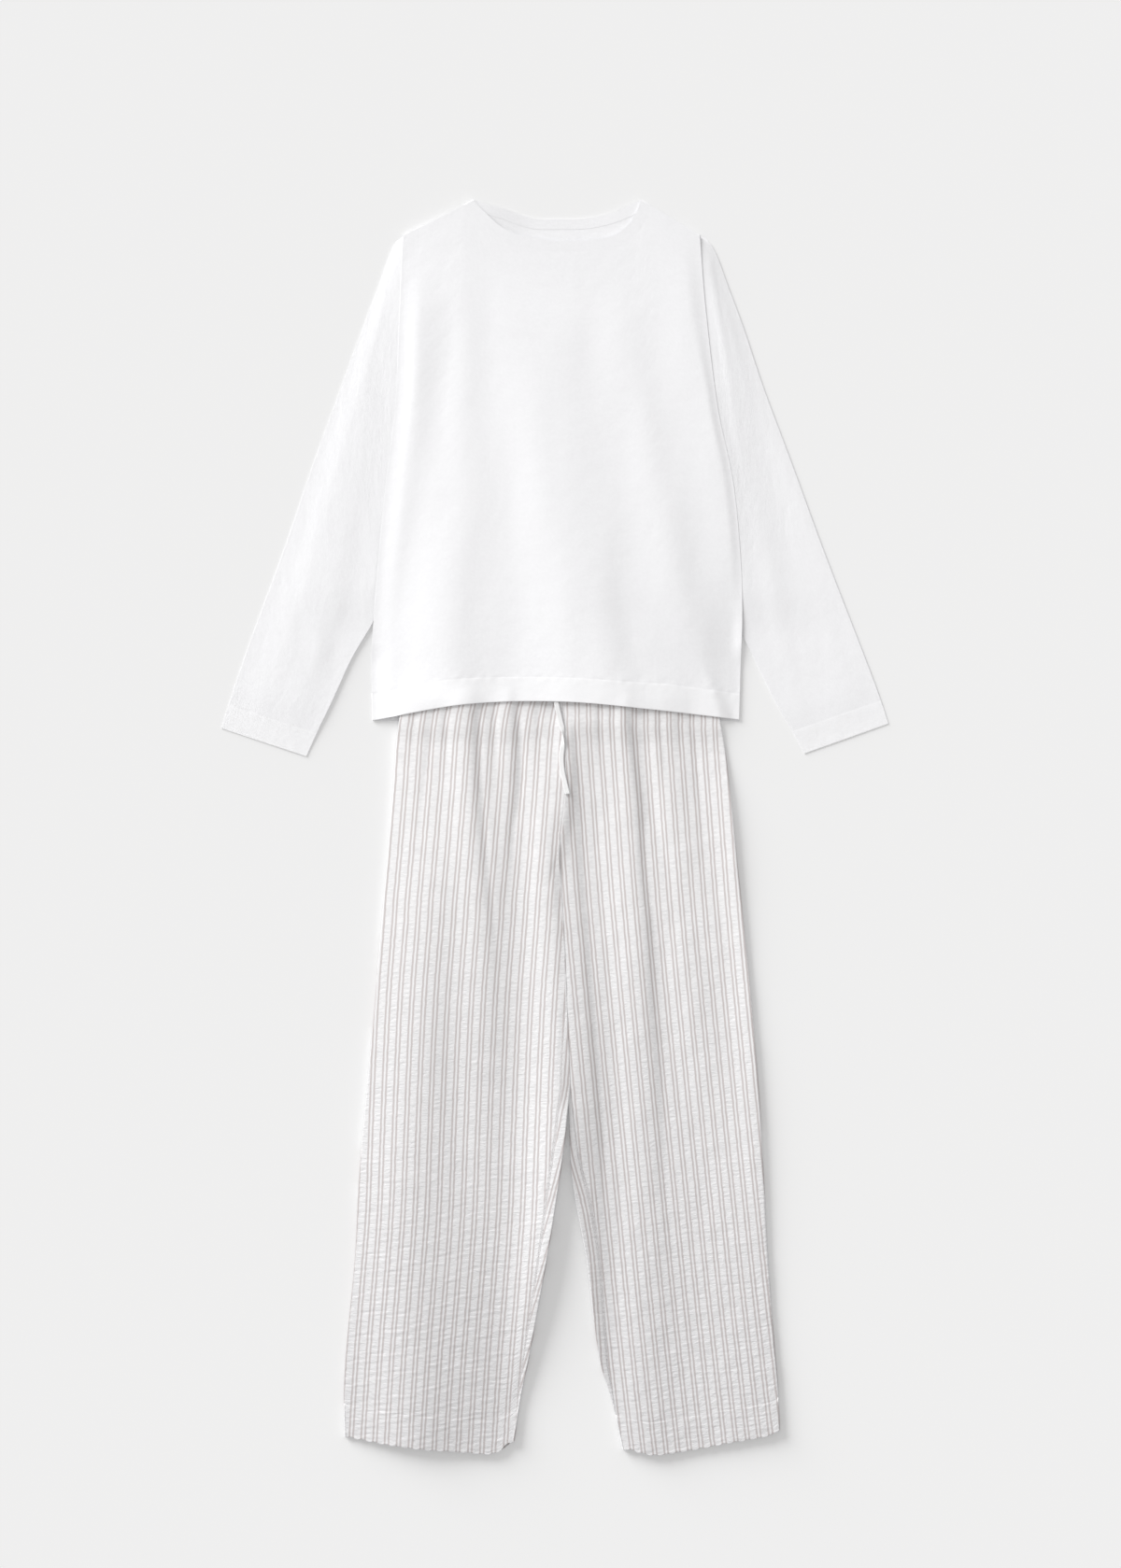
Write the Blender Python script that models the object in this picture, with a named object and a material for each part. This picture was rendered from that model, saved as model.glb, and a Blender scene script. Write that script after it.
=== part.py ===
"""A two-piece pyjama set laid out flat: a long-sleeved jersey top over wide drawstring trousers.

The set lies on z = 0 with its neck towards +Y, and its origin is under the middle of its outline. Sizes,
tables and heights are in millimetres, and only the finished meshes are in metres. A drop is a distance down the
garment: for the top from its shoulder points, for the trousers from the top edge of the waistband.
"""

import math

import bmesh
import bpy
from mathutils import Vector

MM = 0.001

# Driving sizes.
JERSEY = 1.0  # wall of the top's cloth
CRINKLE = 1.2  # wall of the trousers' cloth
RIB = 1.4  # folded neckband
CASING = 1.8  # waistband with its elastic
TAPE = 2.4  # drawstring, as a round tube
SEAM = 0.3  # gap between two pieces that are sewn together
TURN_UP = 0.5  # what a turned-up hem adds to the wall
TOP_HEM = 30.0
LEG_HEM = 28.0
NECKBAND_WIDTH = 12.0
WAISTBAND_WIDTH = 35.0
BACK_LENGTH = 613.0  # shoulder points to the back's hem
SHOULDER_Y = 736.9  # y of the shoulder points
WAIST_Y = 229.6  # y of the waistband's top edge
TUCK_RAMP = 26.0  # length over which the trousers step down off the top's back hem
EDGE_ROUND = 1.6  # how far from its folded edge a flat tube reaches its full height
SOFT_EDGE = 26.0  # border beside a seam, where folds fade out
FOLD_BLUNTNESS = 0.7  # the lower this is, the blunter a fold's two ends are
BAND_TURN = 0.8  # hollow left inside the neckband where it turns over at the shoulder points
SHOULDER_DIRECTION = (0.88, 0.475)  # outwards and down

# Underside of the top's front, above the floor.
LEVEL_NECK = RIB + SEAM
LEVEL_SIDE_SEAM = JERSEY + SEAM
LEVEL_ON_SLEEVE = 2 * JERSEY + 2 * SEAM
LEVEL_CHEST = 3.0
LOWEST_CHEST = 1.6
LEVEL_ON_TROUSERS = 9.0

# Stretches over which the top's front changes level.
NECK_BLEND = 0.18  # share of its width, from each side, over which it rises from the neckband's level
SIDE_DROP = (25.0, 30.0)  # the side seam's step down: start, below where the sleeve leaves the body, and length
WAIST_RISE = (420.0, 80.0)  # drop and length of the rise onto the trousers' waist
WAIST_RIM = (3.0, 18.0)  # distance from the side edge, and width, of the same rise
BODY_FLARE = 80.0  # how much wider the top is at its hem than at its shoulders

# Side edges of the top's front: drop, left x, right x.
BODY_SIDES = (
    (42.0, -179.0, 170.5),
    (124.0, -182.5, 177.0),
    (243.0, -188.0, 191.5),
    (333.0, -199.0, 210.0),
    (429.0, -208.0, 219.0),
    (495.0, -213.4, 220.5),
    (536.0, -215.6, 219.0),
    (BACK_LENGTH, -214.5, 216.7),
)
# Front hem of the top: x, drop.
FRONT_HEM = ((-214.5, 612.0), (-103.0, 593.0), (6.5, 590.0), (116.5, 599.5), (216.7, 611.0))
# Free edge of the neckband, in front and behind: x, drop.
NECK_FRONT = (
    (-100.0, 0.0),
    (-83.5, 13.0),
    (-62.5, 32.0),
    (-38.5, 42.0),
    (6.5, 48.4),
    (51.5, 45.7),
    (73.0, 40.5),
    (90.0, 26.5),
    (102.5, 5.5),
    (104.0, 0.0),
)
NECK_BACK = (
    (-100.0, 0.0),
    (-62.5, 9.0),
    (-26.0, 21.0),
    (3.0, 22.0),
    (38.5, 21.0),
    (69.5, 14.0),
    (104.0, 0.0),
)

# Sleeves, a row for each section from armhole to cuff: outer x, outer drop, inner x, inner drop.
SLEEVE_LEFT = (
    (-177.0, 40.0, -186.0, 321.0),
    (-188.0, 50.0, -187.0, 335.0),
    (-197.0, 70.0, -188.0, 350.0),
    (-208.0, 102.0, -190.0, 370.0),
    (-226.0, 150.0, -192.5, 395.0),
    (-251.0, 219.0, -195.0, 425.0),
    (-284.0, 310.0, -199.0, 458.0),
    (-316.5, 405.0, -213.4, 495.0),
    (-349.5, 495.0, -239.5, 540.0),
    (-371.0, 555.0, -262.0, 589.0),
    (-383.5, 593.0, -280.0, 626.5),
    (-392.7, 621.5, -292.6, 654.5),
)
SLEEVE_RIGHT = (
    (170.5, 40.0, 197.0, 321.0),
    (181.0, 48.0, 198.5, 335.0),
    (191.0, 66.0, 200.0, 350.0),
    (202.0, 96.0, 202.0, 370.0),
    (222.0, 150.0, 204.5, 395.0),
    (245.0, 219.0, 206.0, 425.0),
    (279.0, 310.0, 207.5, 458.0),
    (313.7, 405.0, 213.5, 495.0),
    (348.2, 495.0, 235.0, 540.0),
    (371.0, 554.0, 259.0, 589.0),
    (383.5, 588.0, 279.5, 624.0),
    (392.7, 616.0, 293.7, 651.2),
)
CUFF_SECTIONS = 2  # the last sections, which hold the cuff's hem
LEAVES_BODY = 495.0  # drop at which a sleeve comes out from under the side seam

# Trousers, a row for each level: drop, left outer x, left inner x, right inner x, right outer x.
LEGS = (
    (35.0, -163.0, 7.7, 7.7, 174.0),
    (101.0, -182.5, 9.9, 9.9, 194.0),
    (191.0, -190.5, 11.8, 11.8, 207.0),
    (268.0, -197.0, 4.2, 4.2, 214.5),
    (356.0, -205.0, 8.2, 8.2, 224.0),
    (466.0, -214.5, 12.4, 12.8, 234.5),
    (565.0, -223.5, 15.2, 16.2, 242.0),
    (642.0, -230.5, 6.6, 20.0, 246.0),
    (741.0, -235.5, -12.0, 37.5, 251.0),
    (851.0, -245.5, -28.5, 51.7, 258.5),
    (906.0, -248.5, -39.5, 68.0, 263.0),
    (957.0, -247.5, -47.3, 79.2, 265.0),
)
WAIST_DROP = LEGS[0][0]
LEG_END = LEGS[-1][0]
FORK_DROP = 290.0  # where the centre seam ends and the inseams begin
# Leg hems: x, drop.
HEM_LEFT = ((-247.5, 947.0), (-181.5, 958.0), (-100.0, 965.5), (-65.0, 966.0), (-47.3, 953.0))
HEM_RIGHT = ((79.2, 961.5), (104.0, 968.0), (126.0, 967.5), (205.0, 953.7), (248.0, 946.0), (265.0, 938.5))

# Folds, a row for each: x and drop at its start, middle and end, then its height, which is negative for a
# trough, and its half-width.
TOP_FOLDS = (
    (-148.5, 130.0, -157.0, 250.0, -172.0, 363.0, -1.1, 13.0),
    (-89.0, 130.0, -93.5, 283.0, -113.0, 513.0, -1.3, 14.0),
    (31.0, 147.0, 54.0, 333.0, 84.5, 549.0, -1.4, 24.0),
    (90.0, 142.0, 126.5, 309.0, 184.0, 513.0, -1.1, 15.0),
    (-119.0, 140.0, -121.0, 250.0, -124.0, 340.0, 1.2, 14.0),
    (-53.0, 136.0, -50.5, 260.0, -53.0, 393.0, 1.6, 20.0),
    (-30.0, 309.0, -4.5, 426.0, 19.0, 542.0, 2.0, 22.0),
    (66.0, 213.0, 81.5, 288.0, 96.0, 363.0, 1.3, 15.0),
    (144.0, 124.0, 163.0, 260.0, 182.0, 393.0, 1.5, 16.0),
)
SLEEVE_FOLDS = (
    (-214.0, 150.0, -258.0, 330.0, -316.0, 560.0, 1.8, 14.0),
    (-240.0, 300.0, -264.0, 430.0, -300.0, 600.0, 1.3, 12.0),
    (190.0, 90.0, 216.0, 250.0, 242.0, 400.0, 2.0, 13.0),
    (240.0, 180.0, 282.0, 400.0, 336.0, 590.0, 1.4, 14.0),
)
TROUSER_FOLDS = (
    (-114.0, 85.0, -110.0, 250.0, -96.0, 430.0, 1.9, 13.0),
    (-90.0, 60.0, -86.0, 252.0, -58.0, 420.0, -1.4, 11.0),
    (-44.0, 60.0, -46.0, 212.0, -50.5, 350.0, -1.2, 9.0),
    (-15.0, 70.0, -8.0, 440.0, -34.0, 807.0, 1.8, 17.0),
    (27.5, 60.0, 35.0, 334.0, 56.0, 590.0, -1.3, 13.0),
    (71.0, 70.0, 76.0, 215.0, 84.0, 350.0, 1.5, 14.0),
    (90.0, 50.0, 109.0, 294.0, 123.0, 603.0, -1.5, 12.0),
    (84.0, 560.0, 98.0, 690.0, 120.0, 860.0, 1.8, 16.0),
    (-195.0, 500.0, -205.0, 624.0, -216.0, 760.0, 1.6, 15.0),
)
TROUSER_LOFT = 1.5  # how far the trousers' front stands off the back between its folds
LOFT_RISE = (90.0, 60.0)  # drop and length over which the loft begins
FOLDS_RISE = (70.0, 40.0)  # drop and length over which the folds begin
TUCK_START = 3.0  # how far below the top's back hem the trousers start to step down
FORK_RISE = (-40.0, 60.0)  # start, below the fork, and length over which the inseams press the folds flat
HEM_SKEW_FROM = 0.6  # share of the leg's length below which its edges slant to meet the hem
GATHER_HEIGHT = 0.45
GATHER_PITCH = 24.0
GATHER_LENGTH = 130.0

# Drawstring, from the waistband down the trousers' front: x, drop.
DRAWSTRING = (
    (5.5, 24.0),
    (4.0, 45.0),
    (2.2, 66.0),
    (1.7, 83.0),
    (6.0, 103.0),
    (10.0, 121.0),
    (9.6, 131.0),
    (7.8, 146.0),
    (8.4, 162.0),
    (11.6, 178.0),
    (15.0, 192.0),
)
DRAWSTRING_CLEARANCE = 0.6
CASING_STEP = (3.0, 25.0)  # below the casing: start and length of the drawstring's step down onto the cloth
DRAWSTRING_POINTS = 28

# Drops of the rows of each grid.
FRONT_ROWS = 16
BACK_ROWS = (40.0, 110.0, 180.0, 250.0, 321.0, 335.0, 350.0, 370.0, 395.0, 425.0, 458.0, 495.0, 540.0)
LEG_ROWS = (58.0, 82.0, 108.1, 134.1, 170.0, 210.0, 250.0, 300.0, 350.0, 400.0, 450.0)
LOW_LEG_ROWS = (500.0, 550.0, 600.0, 650.0, 700.0, 750.0, 800.0, 850.0, 890.0)
BODY_COLUMNS = 30
SHOULDER_SHARE = 0.2  # share of a body panel's columns in each shoulder
NECK_STEPS = round(BODY_COLUMNS * (1.0 - 2.0 * SHOULDER_SHARE))
SLEEVE_COLUMNS = 7
LEG_FRONT_COLUMNS = 12
LEG_BACK_COLUMNS = 6
WAIST_COLUMNS = 12
HEM_STEP = 1.5  # length of the step up onto a turned-up hem

WHITE_JERSEY = (0.93, 0.93, 0.94)
STRIPED_COTTON = (0.86, 0.85, 0.85)
WHITE_TAPE = (0.92, 0.92, 0.91)


def ease(t):
    """0 to 1 with a soft start and a soft end."""
    t = min(max(t, 0.0), 1.0)
    return t * t * (3.0 - 2.0 * t)


def blend(a, b, t):
    return a + (b - a) * t


def rise(at, stretch):
    """0 before a stretch, given as its start and its length, and 1 past it."""
    start, length = stretch
    return ease((at - start) / length)


def segment(rows, at):
    """The row before a value of the first column, and how far the value is towards the next row."""
    k = 0
    while k < len(rows) - 2 and at > rows[k + 1][0]:
        k += 1
    return k, (at - rows[k][0]) / (rows[k + 1][0] - rows[k][0])


def read(rows, column, at):
    """One column of a table, read along a smooth curve at a value of the first column."""
    at = min(max(at, rows[0][0]), rows[-1][0])
    k, t = segment(rows, at)

    def slope(i):
        before, after = rows[max(i - 1, 0)], rows[min(i + 1, len(rows) - 1)]
        return (after[column] - before[column]) / (after[0] - before[0])

    step = rows[k + 1][0] - rows[k][0]
    start, end = rows[k][column], rows[k + 1][column]
    value = start * (1 + 2 * t) * (1 - t) ** 2 + end * t * t * (3 - 2 * t)
    return value + step * (slope(k) * t * (1 - t) ** 2 - slope(k + 1) * t * t * (1 - t))


def route(points, t):
    """The point that is t of the way along a smooth curve through the points."""
    rows = [(0.0, *points[0])]
    for a, b in zip(points, points[1:]):
        rows.append((rows[-1][0] + math.dist(a, b), *b))
    return [read(rows, column, t * rows[-1][0]) for column in range(1, len(rows[0]))]


def fold_height(table, x, drop):
    """Summed height of a table's folds: soft ridges and troughs that run down the cloth."""
    total = 0.0
    for x0, d0, x1, d1, x2, d2, height, half_width in table:
        if d0 < drop < d2:
            line = read(((d0, x0), (d1, x1), (d2, x2)), 1, drop)
            fade = math.sin(math.pi * (drop - d0) / (d2 - d0)) ** FOLD_BLUNTNESS
            total += height * fade * math.exp(-(((x - line) / half_width) ** 2))
    return total


def neck_edge(points, t, offset):
    """A point offset outwards from the neck's free edge, and along the shoulder at the curve's two ends."""
    x, drop = route(points, t)
    ahead, behind = route(points, min(t + 0.01, 1.0)), route(points, max(t - 0.01, 0.0))
    along = Vector((ahead[0] - behind[0], ahead[1] - behind[1])).normalized()
    outward = Vector((-along.y, along.x))
    shoulder = shoulder_slope(t)
    away = outward.lerp(shoulder, 1.0 - ease(min(t, 1.0 - t) / 0.1)).normalized()
    return x + away.x * offset, drop + away.y * offset


def shoulder_slope(t):
    """The shoulder's direction from the neck, in x and drop: left for the neck's start, right for its end."""
    outwards, down = SHOULDER_DIRECTION
    return Vector((math.copysign(outwards, t - 0.5), down))


def patch(top, bottom, left, right, u, v):
    """Blends four edge curves, whose corners meet, into a point."""
    point = []
    for axis in range(2):
        across = blend(left(v)[axis], right(v)[axis], u)
        down = blend(top(u)[axis], bottom(u)[axis], v)
        upper = blend(top(0.0)[axis], top(1.0)[axis], u)
        lower = blend(bottom(0.0)[axis], bottom(1.0)[axis], u)
        point.append(across + down - blend(upper, lower, v))
    return point


def table_edge(rows, u):
    """A point on an edge whose table gives drop by x."""
    x = blend(rows[0][0], rows[-1][0], u)
    return x, read(rows, 1, x)


def shoulders_and_neck(tips, neck, u):
    """The upper edge of a body panel: left shoulder, neckband seam, right shoulder."""
    share = SHOULDER_SHARE
    offset = NECKBAND_WIDTH + SEAM
    if u < share:
        return [blend(a, b, u / share) for a, b in zip(tips[0], neck_edge(neck, 0.0, offset))]
    if u > 1.0 - share:
        t = (u - 1.0 + share) / share
        return [blend(a, b, t) for a, b in zip(neck_edge(neck, 1.0, offset), tips[1])]
    return neck_edge(neck, (u - share) / (1.0 - 2.0 * share), offset)


def trouser_back_level(drop):
    """Underside of the trousers' back: on the floor, and on the top's back where that lies under it."""
    back_hem = WAIST_Y - SHOULDER_Y + BACK_LENGTH
    return (JERSEY + SEAM) * (1.0 - ease((drop - back_hem - TUCK_START) / TUCK_RAMP))


def trouser_front_level(x, drop, border):
    """Underside of the trousers' front. Border runs from 0 at a seam's edge to 1 inside the panel."""
    swell = TROUSER_LOFT * rise(drop, LOFT_RISE)
    relief = max(swell + fold_height(TROUSER_FOLDS, x, drop), 0.0) * rise(drop, FOLDS_RISE)
    gathers = 1.0 + math.sin(2.0 * math.pi * x / GATHER_PITCH)
    relief += GATHER_HEIGHT * gathers * (1.0 - ease(drop / GATHER_LENGTH))
    return trouser_back_level(drop) + CRINKLE + SEAM + border * relief


def top_front_level(x, drop, from_side, along_shoulder, from_top):
    """Underside of the top's front, from distances to its sides, along its shoulder and to its upper edge."""
    neck = blend(LEVEL_ON_SLEEVE, LEVEL_NECK, ease(along_shoulder))
    rim = blend(LEVEL_ON_SLEEVE, LEVEL_SIDE_SEAM, rise(drop - LEAVES_BODY, SIDE_DROP))
    chest = max(LEVEL_CHEST + fold_height(TOP_FOLDS, x, drop), LOWEST_CHEST)
    inside = blend(rim, chest, ease(from_side / SOFT_EDGE))
    flat = blend(neck, inside, ease(from_top / SOFT_EDGE))
    waist = LEVEL_ON_TROUSERS + 0.5 * fold_height(TOP_FOLDS, x, drop)
    return max(flat, blend(flat, waist, rise(drop, WAIST_RISE) * rise(from_side, WAIST_RIM)))


def clear_scene():
    for obj in list(bpy.data.objects):
        bpy.data.objects.remove(obj, do_unlink=True)


def cloth_material(name, colour):
    material = bpy.data.materials.new(name)
    material.use_nodes = True
    shader = material.node_tree.nodes["Principled BSDF"]
    shader.inputs["Base Color"].default_value = (*colour, 1.0)
    shader.inputs["Roughness"].default_value = 0.9
    shader.inputs["Metallic"].default_value = 0.0
    return material


def finish(bm, name, colour):
    """Makes the mesh an object in metres, with its faces pointing out."""
    bmesh.ops.remove_doubles(bm, verts=bm.verts, dist=1e-4)
    bmesh.ops.recalc_face_normals(bm, faces=bm.faces)
    bmesh.ops.scale(bm, vec=(MM, MM, MM), verts=bm.verts)
    mesh = bpy.data.meshes.new(name)
    bm.to_mesh(mesh)
    bm.free()
    mesh.materials.append(cloth_material(name, colour))
    bpy.context.scene.collection.objects.link(bpy.data.objects.new(name, mesh))


def grid(columns, rows):
    """A flat grid, with the column and row of each of its vertices, counted from the upper left."""
    bm = bmesh.new()
    bmesh.ops.create_grid(bm, x_segments=columns, y_segments=rows, size=1.0)
    spots = []
    for vert in bm.verts:
        column = round((vert.co.x + 1.0) / 2.0 * columns)
        spots.append((vert, column, round((1.0 - vert.co.y) / 2.0 * rows)))
    return bm, spots


def panel(name, columns, stations, place, thickness, colour):
    """A cloth wall: place(u, v) is on its underside, and thickness(v) lies between its two sides."""
    bm, spots = grid(columns, len(stations) - 1)
    for vert, column, row in spots:
        vert.co = place(column / columns, stations[row])
    lower = {vert.co.to_tuple(3): thickness(stations[row]) for vert, column, row in spots}
    raised = bmesh.ops.extrude_face_region(bm, geom=bm.faces[:])["geom"]
    for vert in raised:
        if isinstance(vert, bmesh.types.BMVert):
            vert.co.z += lower[vert.co.to_tuple(3)]
    finish(bm, name, colour)


def ring(name, around, sections, place, colour):
    """A closed band of cloth: place(a, section, wall) is outside it for wall 0 and inside it for wall 1."""
    bm, spots = grid(around, 2 * sections)
    for vert, column, row in spots:
        row %= 2 * sections
        wall = row // sections
        section = row if wall == 0 else 2 * sections - 1 - row
        vert.co = place(column % around, section, wall)
    finish(bm, name, colour)


def flat_tube(name, columns, edges, base, height, walls, colour):
    """A tube pressed flat. A section runs between two edge points, and height(section, spot, t) is its top."""
    around = 2 * (columns + 1) + 2

    def place(a, section, wall):
        start, end = (Vector(point) for point in edges[section])
        along = (end - start).normalized()
        inset = walls[section] * wall
        middle = base + min(walls) + SEAM / 2.0
        if a == columns + 1:
            return Vector((*(end - along * inset), middle))
        if a == around - 1:
            return Vector((*(start + along * inset), middle))
        below = a <= columns
        t = a / columns if below else (around - 2 - a) / columns
        spot = (start + along * EDGE_ROUND).lerp(end - along * EDGE_ROUND, t)
        if below:
            return Vector((*spot, base + min(walls) * wall))
        return Vector((*spot, base + height(section, spot, t) - inset))

    ring(name, around, len(edges), place, colour)


def sleeve(name, rows, column):
    """A sleeve from its armhole to its cuff, folded flat along its top and along the underarm seam."""
    edges = [((ox, SHOULDER_Y - od), (ix, SHOULDER_Y - idrop)) for ox, od, ix, idrop in rows]
    hem_from = len(rows) - CUFF_SECTIONS
    walls = [JERSEY + (TURN_UP if section >= hem_from else 0.0) for section in range(len(rows))]

    def height(section, spot, t):
        drop = SHOULDER_Y - spot.y
        from_body = max(abs(spot.x) - abs(body_side(column, drop)), 0.0)
        from_edges = min((Vector(point) - spot).length for point in edges[section])
        free = ease(from_body / SOFT_EDGE) * ease(from_edges / SOFT_EDGE)
        relief = max(free * fold_height(SLEEVE_FOLDS, spot.x, drop), 0.0)
        return JERSEY + SEAM + relief + walls[section]

    flat_tube(name, SLEEVE_COLUMNS, edges, 0.0, height, walls, WHITE_JERSEY)


def body_side(column, drop):
    return read(BODY_SIDES, column, drop)


def hem_thickness(cloth, start):
    return lambda v: cloth + (TURN_UP if v > start else 0.0)


def top_front():
    first = BODY_SIDES[0][0]
    tips = ((BODY_SIDES[0][1], first), (BODY_SIDES[0][2], first))
    span = FRONT_HEM[0][1] - first
    hem_start = 1.0 - TOP_HEM / span
    stations = [hem_start * row / FRONT_ROWS for row in range(FRONT_ROWS + 1)]
    stations += [hem_start + HEM_STEP / span, 1.0]

    def side(column, end):
        return lambda v: (body_side(column, blend(first, end, v)), blend(first, end, v))

    def place(u, v):
        top_edge = lambda s: shoulders_and_neck(tips, NECK_FRONT, s)
        hem = lambda s: table_edge(FRONT_HEM, s)
        x, drop = patch(top_edge, hem, side(1, FRONT_HEM[0][1]), side(2, FRONT_HEM[-1][1]), u, v)
        width = BODY_SIDES[0][2] - BODY_SIDES[0][1] + BODY_FLARE * v
        edge = min(u, 1.0 - u)
        level = top_front_level(x, drop, width * edge, edge / NECK_BLEND, v * span)
        return Vector((x, SHOULDER_Y - drop, level))

    panel("top_front", BODY_COLUMNS, stations, place, hem_thickness(JERSEY, hem_start), WHITE_JERSEY)


def back_edge(rows, column, side, drop):
    """Edge of the top's back: beside the sleeve down to where that leaves the body, then the side seam."""
    if drop > LEAVES_BODY:
        return body_side(column, drop)
    inner = [(rows[0][1], rows[0][0])] + [(row[3], row[2]) for row in rows]
    k, t = segment(inner, drop)
    return blend(inner[k][1], inner[k + 1][1], t) - side * SEAM


def top_back():
    first = BACK_ROWS[0]
    span = BACK_LENGTH - first
    stations = [(drop - first) / span for drop in (*BACK_ROWS, BACK_LENGTH - TOP_HEM, BACK_LENGTH)]
    left = lambda v: (back_edge(SLEEVE_LEFT, 1, -1.0, first + span * v), first + span * v)
    right = lambda v: (back_edge(SLEEVE_RIGHT, 2, 1.0, first + span * v), first + span * v)
    tips = (left(0.0), right(0.0))

    def place(u, v):
        top_edge = lambda s: shoulders_and_neck(tips, NECK_BACK, s)
        hem = lambda s: (blend(left(1.0)[0], right(1.0)[0], s), BACK_LENGTH)
        x, drop = patch(top_edge, hem, left, right, u, v)
        return Vector((x, SHOULDER_Y - drop, 0.0))

    panel("top_back", BODY_COLUMNS, stations, place, lambda v: JERSEY, WHITE_JERSEY)


def neckband():
    """A folded band all round the neck. Its front lies on its back, and it turns over at the shoulders."""
    front = [(NECK_FRONT, i / NECK_STEPS, LEVEL_NECK, 1.0) for i in range(NECK_STEPS + 1)]
    back = [(NECK_BACK, 1.0 - i / NECK_STEPS, 0.0, -1.0) for i in range(NECK_STEPS + 1)]
    turn_right = (NECK_FRONT, 1.0, LEVEL_NECK - SEAM / 2.0, 0.0)
    turn_left = (NECK_FRONT, 0.0, LEVEL_NECK - SEAM / 2.0, 0.0)
    path = [*front, turn_right, *back, turn_left]

    def place(a, corner, wall):
        points, t, level, facing = path[a]
        x, drop = neck_edge(points, t, NECKBAND_WIDTH * corner)
        y = SHOULDER_Y - drop
        outside = wall == 0
        if facing > 0.0:
            return Vector((x, y, level + (RIB if outside else 0.0)))
        if facing < 0.0:
            return Vector((x, y, level + (0.0 if outside else RIB)))
        slope = shoulder_slope(t)
        over = Vector((abs(slope.y) * math.copysign(1.0, slope.x), abs(slope.x)))
        reach = BAND_TURN + (RIB if outside else 0.0)
        return Vector((x + over.x * reach, y + over.y * reach, level))

    ring("neckband", len(path), 2, place, WHITE_JERSEY)


def leg_panel(name, columns, outer, inner, hem, upper):
    """One leg panel. Outer and inner are columns of LEGS. An upper one lies on a back one, its hem turned up."""
    span = LEG_END - WAIST_DROP
    hem_line = LEG_END - LEG_HEM
    drops = (WAIST_DROP, *LEG_ROWS, *LOW_LEG_ROWS, hem_line - HEM_STEP, hem_line, LEG_END)
    stations = [(drop - WAIST_DROP) / span for drop in drops]
    is_left = outer < inner
    gap = -SEAM / 2.0 if is_left else SEAM / 2.0

    def edge(column, end):
        shift = gap if column == inner else 0.0

        def point(v):
            drop = blend(WAIST_DROP, LEG_END, v)
            skew = (end - LEG_END) * rise(v, (HEM_SKEW_FROM, 1.0 - HEM_SKEW_FROM))
            return read(LEGS, column, drop) + shift, drop + skew

        return point

    left, right = (outer, inner) if is_left else (inner, outer)
    left_edge, right_edge = edge(left, hem[0][1]), edge(right, hem[-1][1])

    def hem_edge(s):
        x, drop = table_edge(hem, s)
        return x + blend(gap * (not is_left), gap * is_left, s), drop

    def waist_edge(s):
        return blend(left_edge(0.0)[0], right_edge(0.0)[0], s), WAIST_DROP

    def place(u, v):
        x, drop = patch(waist_edge, hem_edge, left_edge, right_edge, u, v)
        nominal = blend(WAIST_DROP, LEG_END, v)
        if not upper:
            return Vector((x, WAIST_Y - drop, trouser_back_level(nominal)))
        width = right_edge(v)[0] - left_edge(v)[0]
        from_outer, from_inner = (u, 1.0 - u) if is_left else (1.0 - u, u)
        at_inseam = ease(width * from_inner / SOFT_EDGE)
        border = blend(1.0, at_inseam, rise(nominal - FORK_DROP, FORK_RISE))
        border *= ease(width * from_outer / SOFT_EDGE)
        return Vector((x, WAIST_Y - drop, trouser_front_level(x, nominal, border)))

    hem_start = (hem_line - 0.5 * HEM_STEP - WAIST_DROP) / span
    thickness = hem_thickness(CRINKLE, hem_start) if upper else lambda v: CRINKLE
    panel(name, columns, stations, place, thickness, STRIPED_COTTON)


def trousers():
    for side, outer, inner, hem in (("left", 1, 2, HEM_LEFT), ("right", 4, 3, HEM_RIGHT)):
        leg_panel("trouser_front_" + side, LEG_FRONT_COLUMNS, outer, inner, hem, True)
        leg_panel("trouser_back_" + side, LEG_BACK_COLUMNS, outer, inner, hem, False)


def waistband():
    """The elastic casing, a flat ring round the waist."""
    narrowing = 4.0
    low = WAIST_Y - WAISTBAND_WIDTH + SEAM
    left, right = LEGS[0][1], LEGS[0][4]
    edges = [
        ((left + narrowing, WAIST_Y), (right - narrowing, WAIST_Y)),
        ((left + narrowing / 2.0, (WAIST_Y + low) / 2.0), (right - narrowing / 2.0, (WAIST_Y + low) / 2.0)),
        ((left, low), (right, low)),
    ]
    height = lambda section, spot, t: 2.0 * CASING + SEAM
    flat_tube("waistband", WAIST_COLUMNS, edges, JERSEY + SEAM, height, [CASING] * 3, STRIPED_COTTON)


def drawstring():
    """One end of the drawstring, from the waistband's centre down the front of the trousers."""
    curve = bpy.data.curves.new("drawstring", "CURVE")
    curve.dimensions = "3D"
    spline = curve.splines.new("POLY")
    spline.points.add(DRAWSTRING_POINTS - 1)
    casing_top = JERSEY + SEAM + 2.0 * CASING + SEAM
    for i, point in enumerate(spline.points):
        x, drop = route(DRAWSTRING, i / (DRAWSTRING_POINTS - 1))
        cloth_top = trouser_front_level(x, drop, 1.0) + CRINKLE
        under = blend(casing_top, cloth_top, rise(drop - WAIST_DROP, CASING_STEP))
        z = under + DRAWSTRING_CLEARANCE + TAPE / 2.0
        point.co = (x * MM, (WAIST_Y - drop) * MM, z * MM, 1.0)
    curve.bevel_depth = TAPE / 2.0 * MM
    curve.bevel_resolution = 2
    curve.use_fill_caps = True
    curve.materials.append(cloth_material("drawstring", WHITE_TAPE))
    bpy.context.scene.collection.objects.link(bpy.data.objects.new("drawstring", curve))


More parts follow.
